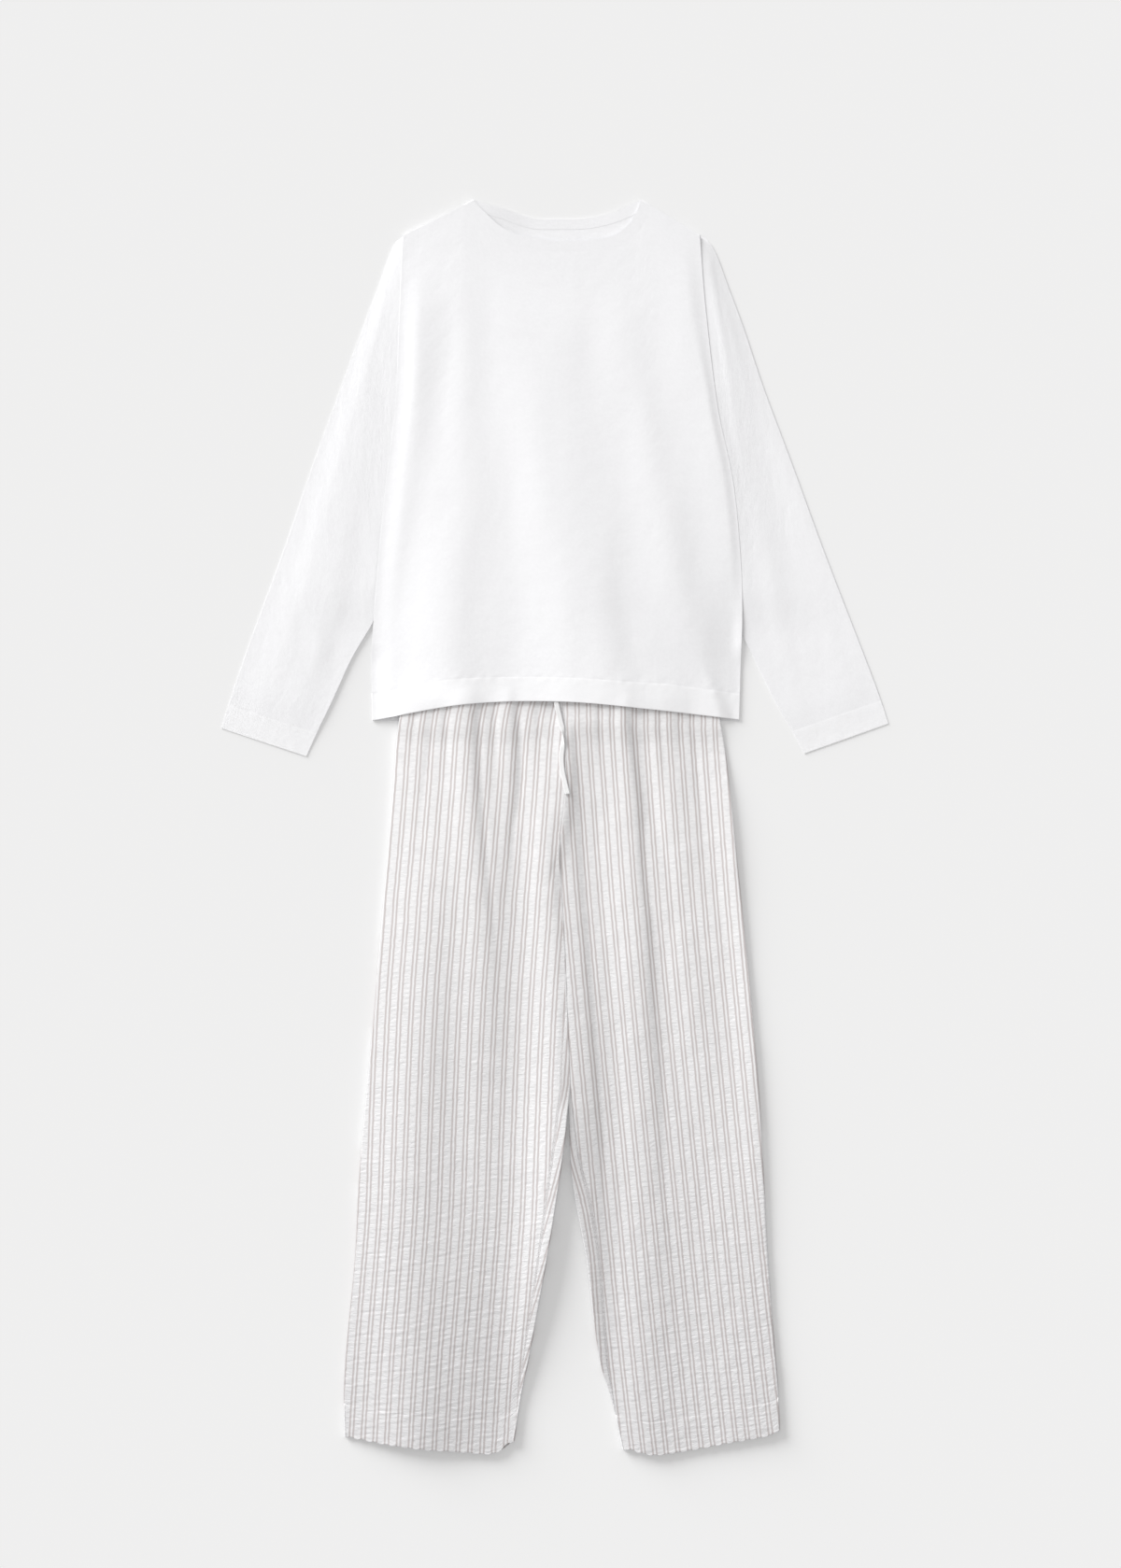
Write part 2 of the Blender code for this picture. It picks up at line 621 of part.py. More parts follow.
clear_scene()
top_back()
top_front()
neckband()
sleeve("sleeve_left", SLEEVE_LEFT, 1)
sleeve("sleeve_right", SLEEVE_RIGHT, 2)
trousers()
waistband()
drawstring()
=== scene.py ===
# %% [markdown]
# # A pyjama set, laid out flat
# A white jersey top lies over wide trousers of crinkled, pinstriped cotton. Both garments are cloth, so the
# lesson is about thin walls that lie on each other: each piece is a flat grid that is laid into its
# outline, lifted into soft folds and then given its thickness. The model comes as a fixed frame of plain
# solids, which the cloth replaces.

# %% Load the frame
import math
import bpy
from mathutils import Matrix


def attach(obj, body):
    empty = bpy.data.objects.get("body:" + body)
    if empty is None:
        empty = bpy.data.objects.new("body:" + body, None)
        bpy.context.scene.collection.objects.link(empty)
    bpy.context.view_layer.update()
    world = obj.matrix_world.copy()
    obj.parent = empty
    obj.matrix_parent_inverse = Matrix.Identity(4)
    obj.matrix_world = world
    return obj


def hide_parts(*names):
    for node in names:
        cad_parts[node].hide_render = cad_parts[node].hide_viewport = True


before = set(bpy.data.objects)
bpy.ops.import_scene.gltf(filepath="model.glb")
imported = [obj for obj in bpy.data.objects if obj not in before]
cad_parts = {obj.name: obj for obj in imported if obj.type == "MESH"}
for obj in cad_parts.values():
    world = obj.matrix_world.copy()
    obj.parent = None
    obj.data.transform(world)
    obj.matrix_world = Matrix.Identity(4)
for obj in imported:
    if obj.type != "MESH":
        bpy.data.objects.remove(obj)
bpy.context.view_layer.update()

from types import SimpleNamespace

import bmesh
import bpy
import numpy as np
from mathutils import Matrix, Vector

MM = 0.001

# %% [markdown]
# ## The camera
# The set lies on a pale surface and is seen from straight above. A long lens from 3.6 m up keeps the edges
# of the cloth upright. The lens follows from the real height that the frame has to take in.

# %% Camera
FRAME_HEIGHT = 1679  # in pixels
MM_PER_PIXEL = 1.1
VIEW_CENTRE = (6.6, 49.8)
CAMERA_HEIGHT = 3600.0
SENSOR = 36.0

camera_data = bpy.data.cameras.new("camera")
camera_data.sensor_width = SENSOR
camera_data.lens = SENSOR * CAMERA_HEIGHT / (FRAME_HEIGHT * MM_PER_PIXEL)
camera = bpy.data.objects.new("camera", camera_data)
camera.location = (VIEW_CENTRE[0] * MM, VIEW_CENTRE[1] * MM, CAMERA_HEIGHT * MM)
bpy.context.scene.collection.objects.link(camera)
bpy.context.scene.camera = camera
print("lens", round(camera_data.lens, 1), "mm")

# %% [markdown]
# ## Soft curves
# Cloth has no hard steps. Every change of level is eased, and every edge or fold is read along a smooth
# curve through a few rows of a table. numpy does this for all the points of a piece at once. Tables are in
# millimetres, and a drop is a distance down the garment: from the shoulder points for the top, from the
# waist for the trousers.

# %% Helpers for soft curves
def ease(t):
    """0 to 1 with a soft start and a soft end."""
    t = np.clip(t, 0.0, 1.0)
    return t * t * (3.0 - 2.0 * t)


def blend(a, b, t):
    return a + (b - a) * t


def rise(at, start, length):
    """0 before a stretch and 1 past it."""
    return ease((at - start) / length)


def read(rows, column, at):
    """One column of a table, read along a smooth curve at values of the first column."""
    table = np.array(rows, float)
    keys, values = table[:, 0], table[:, column]
    at = np.clip(at, keys[0], keys[-1])
    k = np.clip(np.searchsorted(keys, at, side="right") - 1, 0, len(keys) - 2)
    before = np.maximum(np.arange(len(keys)) - 1, 0)
    after = np.minimum(np.arange(len(keys)) + 1, len(keys) - 1)
    slopes = (values[after] - values[before]) / (keys[after] - keys[before])
    step = keys[k + 1] - keys[k]
    t = (at - keys[k]) / step
    value = values[k] * (1 + 2 * t) * (1 - t) ** 2 + values[k + 1] * t * t * (3 - 2 * t)
    return value + step * (slopes[k] * t * (1 - t) ** 2 - slopes[k + 1] * t * t * (1 - t))


def running_sum(lengths):
    """Distance from the start, at the start and at the end of each of a row of lengths."""
    return np.concatenate([[0.0], np.cumsum(lengths)])


def route(points, t):
    """The points that are t of the way along a smooth curve through a few points, one array for each axis."""
    points = np.array(points, float)
    along = running_sum(np.linalg.norm(np.diff(points, axis=0), axis=1))
    rows = np.column_stack([along, points])
    return [read(rows, column, np.asarray(t) * along[-1]) for column in range(1, rows.shape[1])]


def bell(distance, width):
    """1 on a line, fading to nearly 0 two widths away."""
    return np.exp(-((distance / width) ** 2))


def round_over(distance, radius):
    """0 at an edge and 1 from a radius away, along a quarter circle."""
    return np.sqrt(1.0 - (1.0 - np.clip(distance / radius, 0.0, 1.0)) ** 2)


# %% [markdown]
# ## Uneven cloth
# No cloth lies perfectly smooth. A sum of a few sine waves in random directions gives a soft, uneven
# relief. The seed fixes the directions, so that the cloth comes out the same each time.

# %% Helpers for uneven cloth
def waves(x, y, seed, count=6):
    """A soft, uneven relief from about -1 to 1, one unit long."""
    random = np.random.RandomState(seed)
    total = 0.0
    for _ in range(count):
        turn, start = random.uniform(0.0, 2.0 * math.pi, 2)
        pitch = random.uniform(0.7, 1.5)
        total = total + np.sin(2.0 * math.pi * pitch * (x * math.cos(turn) + y * math.sin(turn)) + start)
    return total / math.sqrt(2.0 * count)


def rumple(look, x, drop):
    """Soft unevenness in mm. A look is its height, its length across, its length down and its seed."""
    height, across, down, seed = look
    return height * waves(x / across, drop / down, seed)


# %% [markdown]
# ## Folds
# A fold in laid-out cloth is a low ridge or trough that runs down the piece, wanders a little and fades at
# its ends. Each is a row of a table: how wide its left and right flanks are, and a few stops along it with
# its place and its height. Unequal flanks make a ridge lean, as a fold does that has been pulled to one
# side.

# %% Helper for folds
def fold_height(folds, x, drop):
    """Summed height of a table's folds at points of the cloth."""
    total = np.zeros(np.broadcast(x, drop).shape)
    for left, right, stops in folds:
        line = read(stops, 1, drop)
        height = read(stops, 2, drop)
        total = total + height * bell(x - line, np.where(x < line, left, right))
    return total


# %% [markdown]
# ## How the trousers lie
# The trousers are the lower garment. Their backs lie flat on the floor, apart from the stretch that is
# tucked into the top and lies on the top's back. Their fronts stand off a little, with deep folds that fall
# from the gathered waist. These heights come first, because the drawstring and the top both lie on them.

# %% The trousers' sizes and folds
SHOULDER_Y = 736.9
WAIST_Y = 229.6
BACK_LENGTH = 613.0
JERSEY = 1.0
CRINKLE = 1.2
SEAM = 0.3
CASING = 1.8
WAISTBAND_WIDTH = 35.0
TUCK_START = 3.0
TUCK_RAMP = 26.0

# Leg edges: drop, left outer x, left inner x, right inner x, right outer x.
LEGS = (
    (35.0, -163.0, 7.7, 7.7, 174.0),
    (101.0, -182.5, 9.9, 9.9, 194.0),
    (191.0, -190.5, 11.8, 11.8, 207.0),
    (268.0, -197.0, 4.2, 4.2, 214.5),
    (356.0, -205.0, 8.2, 8.2, 224.0),
    (466.0, -214.5, 12.4, 12.8, 234.5),
    (565.0, -223.5, 15.2, 16.2, 242.0),
    (642.0, -230.5, 6.6, 20.0, 246.0),
    (741.0, -235.5, -9.0, 37.5, 251.0),
    (851.0, -245.5, -28.5, 51.7, 258.5),
    (906.0, -248.5, -39.5, 68.0, 263.0),
    (957.0, -247.5, -47.3, 79.2, 265.0),
)
LEG_START = LEGS[0][0]
LEG_END = LEGS[-1][0]
FORK_DROP = 290.0

# Folds: left flank, right flank, then stops of drop, x and height.
LEFT_LEG_FOLDS = (
    (55.0, 52.0, ((105, -153, 5.6), (250, -137, 4.2), (378, -151, 3.9), (500, -164, 4.9), (640, -174, 5.9),
                  (780, -177, 5.1), (910, -168, 6.6))),
    (24.0, 23.0, ((105, -101, 3.8), (180, -99, 4.7), (260, -94, 3.8), (345, -85, 2.8), (477, -78, 1.3),
                  (600, -71, 0))),
    (21.0, 14.0, ((105, -57, 3.8), (180, -56, 2.9), (260, -59, 1.5), (340, -62, 0))),
    (17.0, 24.0, ((105, -4, -1.5), (180, -15, 0.2), (260, -15, 2.0), (378, -8, 1.1), (530, 6, 0.7),
                  (640, 1, 1.0), (760, -11, 1.1), (910, -52, 0))),
    (36.0, 29.0, ((105, -62, -2.6), (246, -50, -0.3), (400, -46, -2.0), (532, -46, -3.3), (664, -47, -3.4),
                  (800, -60, -3.1), (905, -51, -3.0), (957, -52, -0.8))),
    (18.0, 18.0, ((300, -125, 0), (400, -125, -0.6), (520, -121, -0.9), (640, -107, -0.5), (760, -74, 0))),
)
RIGHT_LEG_FOLDS = (
    (43.0, 23.0, ((105, 38, 7.9), (180, 44, 3.2), (300, 55, 2.0), (420, 47, 1.1), (560, 26, 1.0),
                  (680, -6, 1.3), (760, -7, 0))),
    (20.0, 21.0, ((105, 34, -3.2), (180, 38, -2.6), (300, 49, -2.7), (420, 56, -2.9), (560, 66, -2.5),
                  (680, 65, -2.8), (800, 65, -3.2), (910, 69, -2.4))),
    (27.0, 19.0, ((105, 80, 7.9), (180, 88, 6.5), (260, 94, 5.4), (350, 100, 3.5), (466, 106, 1.9),
                  (600, 110, 1.5), (740, 115, 1.0), (910, 116, 0.6))),
    (26.0, 36.0, ((105, 116, 6.2), (180, 127, 6.2), (250, 137, 4.7), (378, 157, 2.5), (470, 168, 2.6),
                  (620, 178, 0))),
    (101.0, 61.0, ((105, 105, -5.1), (250, 112, -7.7), (400, 174, -4.6), (532, 154, -4.3), (664, 145, -4.1),
                   (800, 158, -3.2), (910, 155, -2.2))),
    (21.0, 74.0, ((105, 183, -3.2), (200, 207, 2.1), (330, 221, 2.4), (466, 232, 2.1), (600, 239, 1.9),
                  (760, 252, 0.2), (910, 273, 0))),
)
# Narrow creases that fall from the gathers, in the same columns. The top is too heavy to follow these.
LEFT_LEG_CREASES = (
    (5.0, 4.5, ((60, -89, -1.6), (139, -89, -1.5), (211, -85, -1.2), (299, -77, -0.8), (367, -69, -0.4),
                (450, -64, 0))),
    (5.0, 4.0, ((60, -47, -1.3), (123, -41, -1.4), (183, -41, -1.2), (241, -49, -0.9), (271, -50, -0.5),
                (330, -54, 0))),
    (4.0, 4.0, ((60, -144, -0.7), (130, -147, -0.6), (211, -156, -0.4), (300, -160, 0))),
    (4.0, 5.0, ((60, -166, -0.8), (95, -165, -0.7), (150, -166, 0))),
    (3.6, 4.4, ((60, -129, -0.9), (100, -128, -0.8), (165, -127, 0))),
    (3.4, 3.8, ((60, -73, -0.9), (105, -71, -0.9), (190, -68, 0))),
    (3.2, 3.6, ((60, -21, -1.0), (98, -20, -0.8), (150, -18, 0))),
    (3.2, 3.2, ((240, 9, 0), (262, 6, -0.5), (284, -3, -0.6), (312, -9, 0))),
)
RIGHT_LEG_CREASES = (
    (5.0, 4.5, ((60, 17, -1.0), (139, 25, -1.2), (197, 30, -1.0), (279, 34, -1.0), (425, 45, -1.3),
                (521, 52, -1.1), (618, 59, -0.8), (720, 66, 0))),
    (5.5, 16.0, ((60, 83, -1.8), (139, 95, -1.9), (197, 103, -1.6), (270, 108, -1.6), (343, 115, -1.5),
                 (424, 118, -1.3), (545, 127, -0.9), (640, 133, -0.5), (760, 140, 0))),
    (4.0, 4.0, ((60, 160, -0.6), (139, 166, -0.6), (211, 172, -0.4), (300, 178, 0))),
    (3.4, 4.2, ((60, 50, -0.9), (100, 52, -0.8), (170, 57, 0))),
    (3.6, 4.0, ((60, 66, -0.8), (95, 68, -0.7), (140, 71, 0))),
    (4.0, 4.6, ((60, 120, -1.0), (105, 124, -0.9), (190, 133, 0))),
    (3.6, 4.2, ((60, 142, -0.7), (100, 146, -0.6), (150, 150, 0))),
    (4.0, 4.4, ((60, 172, -0.7), (110, 177, -0.5), (165, 183, 0))),
)
# How far each leg's front stands off its back, in the same columns as the leg edges.
STANDS = (
    (100.0, 1.0, 5.6, 5.6, 1.4),
    (250.0, 1.0, 7.2, 7.2, 2.0),
    (330.0, 1.0, 7.7, 7.0, 2.2),
    (520.0, 1.0, 8.2, 7.0, 2.6),
    (640.0, 1.0, 12.0, 5.6, 2.8),
    (741.0, 1.0, 13.0, 5.6, 3.0),
    (850.0, 1.0, 8.5, 5.8, 3.2),
    (957.0, 1.0, 5.0, 7.0, 4.6),
)
# Each leg: its columns for the outer and the inner edge, its folds and its creases.
LEFT_LEG = (1, 2, LEFT_LEG_FOLDS, LEFT_LEG_CREASES)
RIGHT_LEG = (4, 3, RIGHT_LEG_FOLDS, RIGHT_LEG_CREASES)
FOLDS_BEGIN = (10.0, 80.0)  # start and length, in drop
SEAM_REACH = 14.0  # the centre seam holds both legs at one height within this
SEAM_ENDS = 60.0  # and stops doing so over this length above the fork
LOWEST_RELIEF = 0.5

# %% How high the trousers lie
def trouser_back_level(drop):
    """Underside of the trousers' back: on the floor, and on the top's back where that lies under it."""
    back_hem = WAIST_Y - SHOULDER_Y + BACK_LENGTH
    return (JERSEY + SEAM) * (1.0 - rise(drop, back_hem + TUCK_START, TUCK_RAMP))


def trouser_front_height(leg, x, drop, creased=True):
    """Outer surface of one leg's front, away from its rolled edges."""
    outer, inner, folds, creases = leg
    folded = fold_height(folds, x, drop)
    if creased:
        folded = folded + fold_height(creases, x, drop)
    outer_x, inner_x = read(LEGS, outer, drop), read(LEGS, inner, drop)
    share = np.clip((x - outer_x) / (inner_x - outer_x), 0.0, 1.0)
    outer_stand, inner_stand = read(STANDS, outer, drop), read(STANDS, inner, drop)
    relief = np.maximum(blend(outer_stand, inner_stand, share) + folded, LOWEST_RELIEF)
    seamed = blend(inner_stand, relief, ease(np.abs(x - inner_x) / SEAM_REACH))
    relief = blend(relief, seamed, 1.0 - rise(drop, FORK_DROP - SEAM_ENDS, SEAM_ENDS))
    return trouser_back_level(drop) + 2.0 * CRINKLE + SEAM + relief * rise(drop, *FOLDS_BEGIN)


sample = trouser_front_height(LEFT_LEG, np.linspace(-150.0, 0.0, 40), np.full(40, 300.0))
lowest, highest = round(float(sample.min()), 1), round(float(sample.max()), 1)
print("left leg stands", lowest, "to", highest, "mm high, 300 mm down")

# %% [markdown]
# ## From arrays to pieces
# Every piece starts as one flat grid from Blender's own operator. Its points are then laid into place in
# one go, and so are its cloth coordinates: how far across and how far down the cloth each point is, in
# metres. The weave and the stripes follow those. Solidify gives the wall its thickness afterwards, away
# from the side that shows.

# %% Helper that lays a grid into place
def lay_grid(name, x, y, z, across, down, around=False, doubled=None):
    """A mesh from arrays of places and cloth coordinates in mm, a row of each for a row of points.

    Around joins the first and last column. Doubled says of each row how much of it is two layers thick.
    """
    x, y, z, across, down = np.broadcast_arrays(x, y, z, across, down)
    rows, columns = x.shape
    bm = bmesh.new()
    bmesh.ops.create_grid(bm, x_segments=columns - 1, y_segments=rows - 1, size=1.0)
    mesh = bpy.data.meshes.new(name)
    bm.to_mesh(mesh)
    bm.free()
    flat = np.empty(len(mesh.vertices) * 3)
    mesh.vertices.foreach_get("co", flat)
    flat = flat.reshape(-1, 3)
    column = np.rint((flat[:, 0] + 1.0) / 2.0 * (columns - 1)).astype(int)
    row = np.rint((1.0 - flat[:, 1]) / 2.0 * (rows - 1)).astype(int)
    place = np.column_stack([values[row, column] * MM for values in (x, y, z)])
    mesh.vertices.foreach_set("co", place.ravel())
    corner = np.empty(len(mesh.loops), dtype=np.int64)
    mesh.loops.foreach_get("vertex_index", corner)
    cloth = mesh.uv_layers.new(name="cloth")
    spots = np.column_stack([values[row, column][corner] * MM for values in (across, down)])
    cloth.data.foreach_set("uv", spots.ravel())
    if doubled is not None:
        mesh.attributes.new("doubled", "FLOAT", "POINT").data.foreach_set("value", doubled[row].astype(float))
    if around:
        bm = bmesh.new()
        bm.from_mesh(mesh)
        bmesh.ops.remove_doubles(bm, verts=bm.verts, dist=1e-6)
        bm.to_mesh(mesh)
        bm.free()
    mesh.shade_smooth()
    mesh.update()
    return mesh


# %% Helpers that finish a piece
def face_outwards(mesh, close_ends=False):
    """Turns a tube's faces outwards. Its open ends are filled first where that is asked for."""
    bm = bmesh.new()
    bm.from_mesh(mesh)
    if close_ends:
        bmesh.ops.holes_fill(bm, edges=[edge for edge in bm.edges if edge.is_boundary], sides=0)
    bmesh.ops.recalc_face_normals(bm, faces=bm.faces)
    middle = sum((vert.co for vert in bm.verts), Vector()) / len(bm.verts)
    outwards = sum(
        face.normal.dot(face.calc_center_median() - middle) * face.calc_area() for face in bm.faces
    )
    if outwards < 0.0:
        bmesh.ops.reverse_faces(bm, faces=bm.faces)
    bm.to_mesh(mesh)
    bm.free()


def finish_piece(name, mesh, material, nodes, thickness=0.0):
    """An object for a mesh, with its wall, its material and its place in the set."""
    piece = bpy.data.objects.new(name, mesh)
    bpy.context.scene.collection.objects.link(piece)
    mesh.materials.append(material)
    if thickness:
        wall = piece.modifiers.new("wall", "SOLIDIFY")
        wall.thickness = thickness * MM
        wall.offset = -1.0
    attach(piece, "root")
    if nodes:
        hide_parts(*nodes)
    print(name, len(mesh.polygons), "faces on the side that shows")
    return piece


# %% Helpers for rows and columns
def steps(*stretches):
    """Places along a piece. Each stretch is its end and about the pitch of its steps."""
    places = [stretches[0][0]]
    for end, pitch in stretches[1:]:
        count = max(int(round((end - places[-1]) / pitch)), 1)
        places.extend(np.linspace(places[-1], end, count + 1)[1:])
    return np.array(places)


def shares_across(width, near, margin, columns):
    """Shares across a piece: places near each side, and even columns between them from a margin on."""
    middle = np.linspace(margin, width - margin, columns)
    return np.concatenate([near, middle, width - near[::-1]]) / width


def around_tube(width, near, upper, lower):
    """Shares across a flat tube, over its upper layer and back under the lower, and which are on the upper.

    Upper and lower are the margin and the number of columns of each layer.
    """
    over = shares_across(width, near, *upper)
    under = shares_across(width, near, *lower)[::-1][1:-1]
    is_upper = np.concatenate([np.full(len(over), True), np.full(len(under), False), [True]])
    return np.concatenate([over, under, [0.0]]), is_upper


# %% [markdown]
# ## Threads, loops and crinkles
# Cloth is a surface of small shadows. A knit has columns of loops, a woven tape has threads that pass over
# and under, and seersucker has slack stripes that pucker beside taut ones. Each is a small group of nodes
# with named inputs, so that every material can use it at its own scale. They all read the cloth
# coordinates, in metres.

# %% Helpers for shader nodes
def add_node(tree, kind, inputs=(), **settings):
    """A node with its settings and inputs. An input is a value, or a socket to be linked."""
    made = tree.nodes.new(kind)
    for key, value in settings.items():
        setattr(made, key, value)
    for key, value in dict(inputs).items():
        if isinstance(value, bpy.types.NodeSocket):
            tree.links.new(value, made.inputs[key])
        else:
            made.inputs[key].default_value = value
    return made


def maths(tree, operation, *values):
    return add_node(tree, "ShaderNodeMath", dict(enumerate(values)), operation=operation).outputs[0]


def soft_step(tree, value, start, end, low=0.0, high=1.0):
    settings = {"Value": value, "From Min": start, "From Max": end, "To Min": low, "To Max": high}
    return add_node(tree, "ShaderNodeMapRange", settings, interpolation_type="SMOOTHSTEP").outputs["Result"]


def effect_group(name, inputs, outputs):
    """An empty group with float inputs, besides the cloth coordinates, and float outputs."""
    group = bpy.data.node_groups.new(name, "ShaderNodeTree")
    group.interface.new_socket(name="Cloth", in_out="INPUT", socket_type="NodeSocketVector")
    for key, value in inputs.items():
        made = group.interface.new_socket(name=key, in_out="INPUT", socket_type="NodeSocketFloat")
        made.default_value = value
    for key in outputs:
        group.interface.new_socket(name=key, in_out="OUTPUT", socket_type="NodeSocketFloat")
    start = group.nodes.new("NodeGroupInput")
    end = group.nodes.new("NodeGroupOutput")
    return group, start.outputs, end.inputs


def use_group(tree, group, cloth, **values):
    made = add_node(tree, "ShaderNodeGroup", node_tree=group)
    tree.links.new(cloth, made.inputs["Cloth"])
    for key, value in values.items():
        made.inputs[key.replace("_", " ")].default_value = value
    return made.outputs


# %% Knitted loops
knit, given, put = effect_group("knitted_loops", {"Wale": 0.0008, "Course": 0.0007}, ["Height", "Shade"])
parts = add_node(knit, "ShaderNodeSeparateXYZ", {0: given["Cloth"]}).outputs
wale = maths(knit, "DIVIDE", parts["X"], given["Wale"])
side = maths(knit, "PINGPONG", wale, 0.5)
lean = maths(knit, "MULTIPLY_ADD", side, 1.1, maths(knit, "DIVIDE", parts["Y"], given["Course"]))
loop = maths(knit, "SINE", maths(knit, "MULTIPLY", lean, 2.0 * math.pi))
column = maths(knit, "SINE", maths(knit, "MULTIPLY", side, 2.0 * math.pi))
height = maths(knit, "ADD", maths(knit, "MULTIPLY", loop, 0.3), maths(knit, "MULTIPLY", column, 0.7))
knit.links.new(height, put["Height"])
uneven = add_node(knit, "ShaderNodeTexNoise", {"Vector": given["Cloth"], "Scale": 260.0, "Detail": 2.0})
knit.links.new(soft_step(knit, uneven.outputs["Fac"], 0.3, 0.7), put["Shade"])

# %% Woven threads
weave, given, put = effect_group("woven_threads", {"Thread": 0.0005}, ["Height"])
parts = add_node(weave, "ShaderNodeSeparateXYZ", {0: given["Cloth"]}).outputs


def thread_wave(axis):
    """A wave whose crests and troughs are the threads that lie side by side along one axis."""
    count = maths(weave, "DIVIDE", parts[axis], given["Thread"])
    return maths(weave, "SINE", maths(weave, "MULTIPLY", count, math.pi))


weave.links.new(maths(weave, "MULTIPLY", thread_wave("X"), thread_wave("Y")), put["Height"])

# %% [markdown]
# The trousers' stripe is a pair of thin taupe lines with a bright flat band between them. The wider stretch
# up to the next pair is slack and puckers. One distance, from a point to its nearest pair, gives all three,
# and it comes from a ping-pong of the coordinate that runs across the cloth.

# %% Pinstripe pairs
STRIPE_REPEAT = 14.3
stripes, given, put = effect_group(
    "pinstripe_pairs",
    {"Repeat": STRIPE_REPEAT * MM, "Apart": 0.0045, "Line": 0.0022},
    ["Lines", "Band", "Slack"],
)
parts = add_node(stripes, "ShaderNodeSeparateXYZ", {0: given["Cloth"]}).outputs
wander = add_node(stripes, "ShaderNodeTexNoise", {"Vector": given["Cloth"], "Scale": 90.0, "Detail": 1.0})
wander = maths(stripes, "MULTIPLY", maths(stripes, "SUBTRACT", wander.outputs["Fac"], 0.5), 0.0012)
place = maths(stripes, "ADD", parts["X"], wander)
distance = maths(stripes, "PINGPONG", place, maths(stripes, "DIVIDE", given["Repeat"], 2.0))
half_apart = maths(stripes, "DIVIDE", given["Apart"], 2.0)
from_line = maths(stripes, "ABSOLUTE", maths(stripes, "SUBTRACT", distance, half_apart))
share = maths(stripes, "DIVIDE", from_line, given["Line"])
stripes.links.new(soft_step(stripes, share, 0.28, 0.72, 1.0, 0.0), put["Lines"])
from_pair = maths(stripes, "DIVIDE", distance, given["Apart"])
stripes.links.new(soft_step(stripes, from_pair, 0.2, 0.42, 1.0, 0.0), put["Band"])
stripes.links.new(soft_step(stripes, from_pair, 0.6, 0.95), put["Slack"])

# %% Seersucker puckers
puckers, given, put = effect_group(
    "seersucker_puckers", {"Width": 0.009, "Pitch": 0.003}, ["Height", "Shade"]
)
parts = add_node(puckers, "ShaderNodeSeparateXYZ", {0: given["Cloth"]}).outputs
stretched = add_node(
    puckers, "ShaderNodeCombineXYZ",
    {
        0: maths(puckers, "DIVIDE", parts["X"], given["Width"]),
        1: maths(puckers, "DIVIDE", parts["Y"], given["Pitch"]),
    },
)
ripple = add_node(
    puckers, "ShaderNodeTexNoise",
    {"Vector": stretched.outputs[0], "Scale": 1.0, "Detail": 2.5, "Distortion": 0.4},
)
puckers.links.new(ripple.outputs["Fac"], put["Height"])
puckers.links.new(soft_step(puckers, ripple.outputs["Fac"], 0.36, 0.62), put["Shade"])
print("effects:", [group.name for group in bpy.data.node_groups])

# %% [markdown]
# ## The cloths
# All are matte cotton, so they are rough, hardly glossy and have a little sheen where the fibres stand up.
# The jersey is a cool white, and its neckband has coarser loops. Where a hem is two layers thick, less of
# the ground shows through and the white is brighter. The trousers are a softer white with woven taupe
# lines. The tape is plain.

# %% Material helper
def cloth_material(name, roughness, sheen):
    """A matte cloth: its tree, its shader, and its cloth coordinates."""
    material = bpy.data.materials.new(name)
    material.use_nodes = True
    tree = material.node_tree
    shader = tree.nodes["Principled BSDF"]
    shader.inputs["Roughness"].default_value = roughness
    shader.inputs["Specular IOR Level"].default_value = 0.25
    shader.inputs["Sheen Weight"].default_value = sheen
    shader.inputs["Sheen Roughness"].default_value = 0.6
    cloth = add_node(tree, "ShaderNodeUVMap", uv_map="cloth").outputs["UV"]
    return material, tree, shader, cloth


def mix_colours(tree, share, first, second, kind="MIX"):
    made = add_node(tree, "ShaderNodeMix", data_type="RGBA", blend_type=kind)
    for key, value in ((0, share), (6, first), (7, second)):
        if isinstance(value, bpy.types.NodeSocket):
            tree.links.new(value, made.inputs[key])
        else:
            made.inputs[key].default_value = value if key == 0 else (*value, 1.0)
    return made.outputs[2]


def bump(tree, height, distance, under=None):
    made = add_node(tree, "ShaderNodeBump", {"Height": height, "Distance": distance, "Strength": 1.0})
    if under:
        tree.links.new(under, made.inputs["Normal"])
    return made.outputs["Normal"]


# %% White jersey
WHITE = (0.834, 0.834, 0.846)
WHITE_SHADE = (0.818, 0.818, 0.83)
DOUBLED_WHITE = (0.845, 0.845, 0.855)
RUMPLE_BUMP = 0.0003
JERSEY_BUMP = 0.00004
jersey, tree, shader, cloth = cloth_material("white_jersey", 0.9, 0.06)
loops = use_group(tree, knit, cloth, Wale=0.0008, Course=0.0007)
doubled = add_node(tree, "ShaderNodeAttribute", attribute_name="doubled").outputs["Fac"]
single = mix_colours(tree, loops["Shade"], WHITE_SHADE, WHITE)
tree.links.new(mix_colours(tree, doubled, single, DOUBLED_WHITE), shader.inputs["Base Color"])
rumpled = add_node(tree, "ShaderNodeTexNoise", {"Vector": cloth, "Scale": 55.0, "Detail": 3.0}).outputs["Fac"]
normal = bump(tree, rumpled, RUMPLE_BUMP)
tree.links.new(bump(tree, loops["Height"], JERSEY_BUMP, normal), shader.inputs["Normal"])

# %% Ribbed neckband
RIB_BUMP = 0.0001
rib, tree, shader, cloth = cloth_material("white_rib", 0.9, 0.06)
loops = use_group(tree, knit, cloth, Wale=0.0016, Course=0.0009)
tree.links.new(mix_colours(tree, loops["Shade"], WHITE_SHADE, WHITE), shader.inputs["Base Color"])
tree.links.new(bump(tree, loops["Height"], RIB_BUMP), shader.inputs["Normal"])

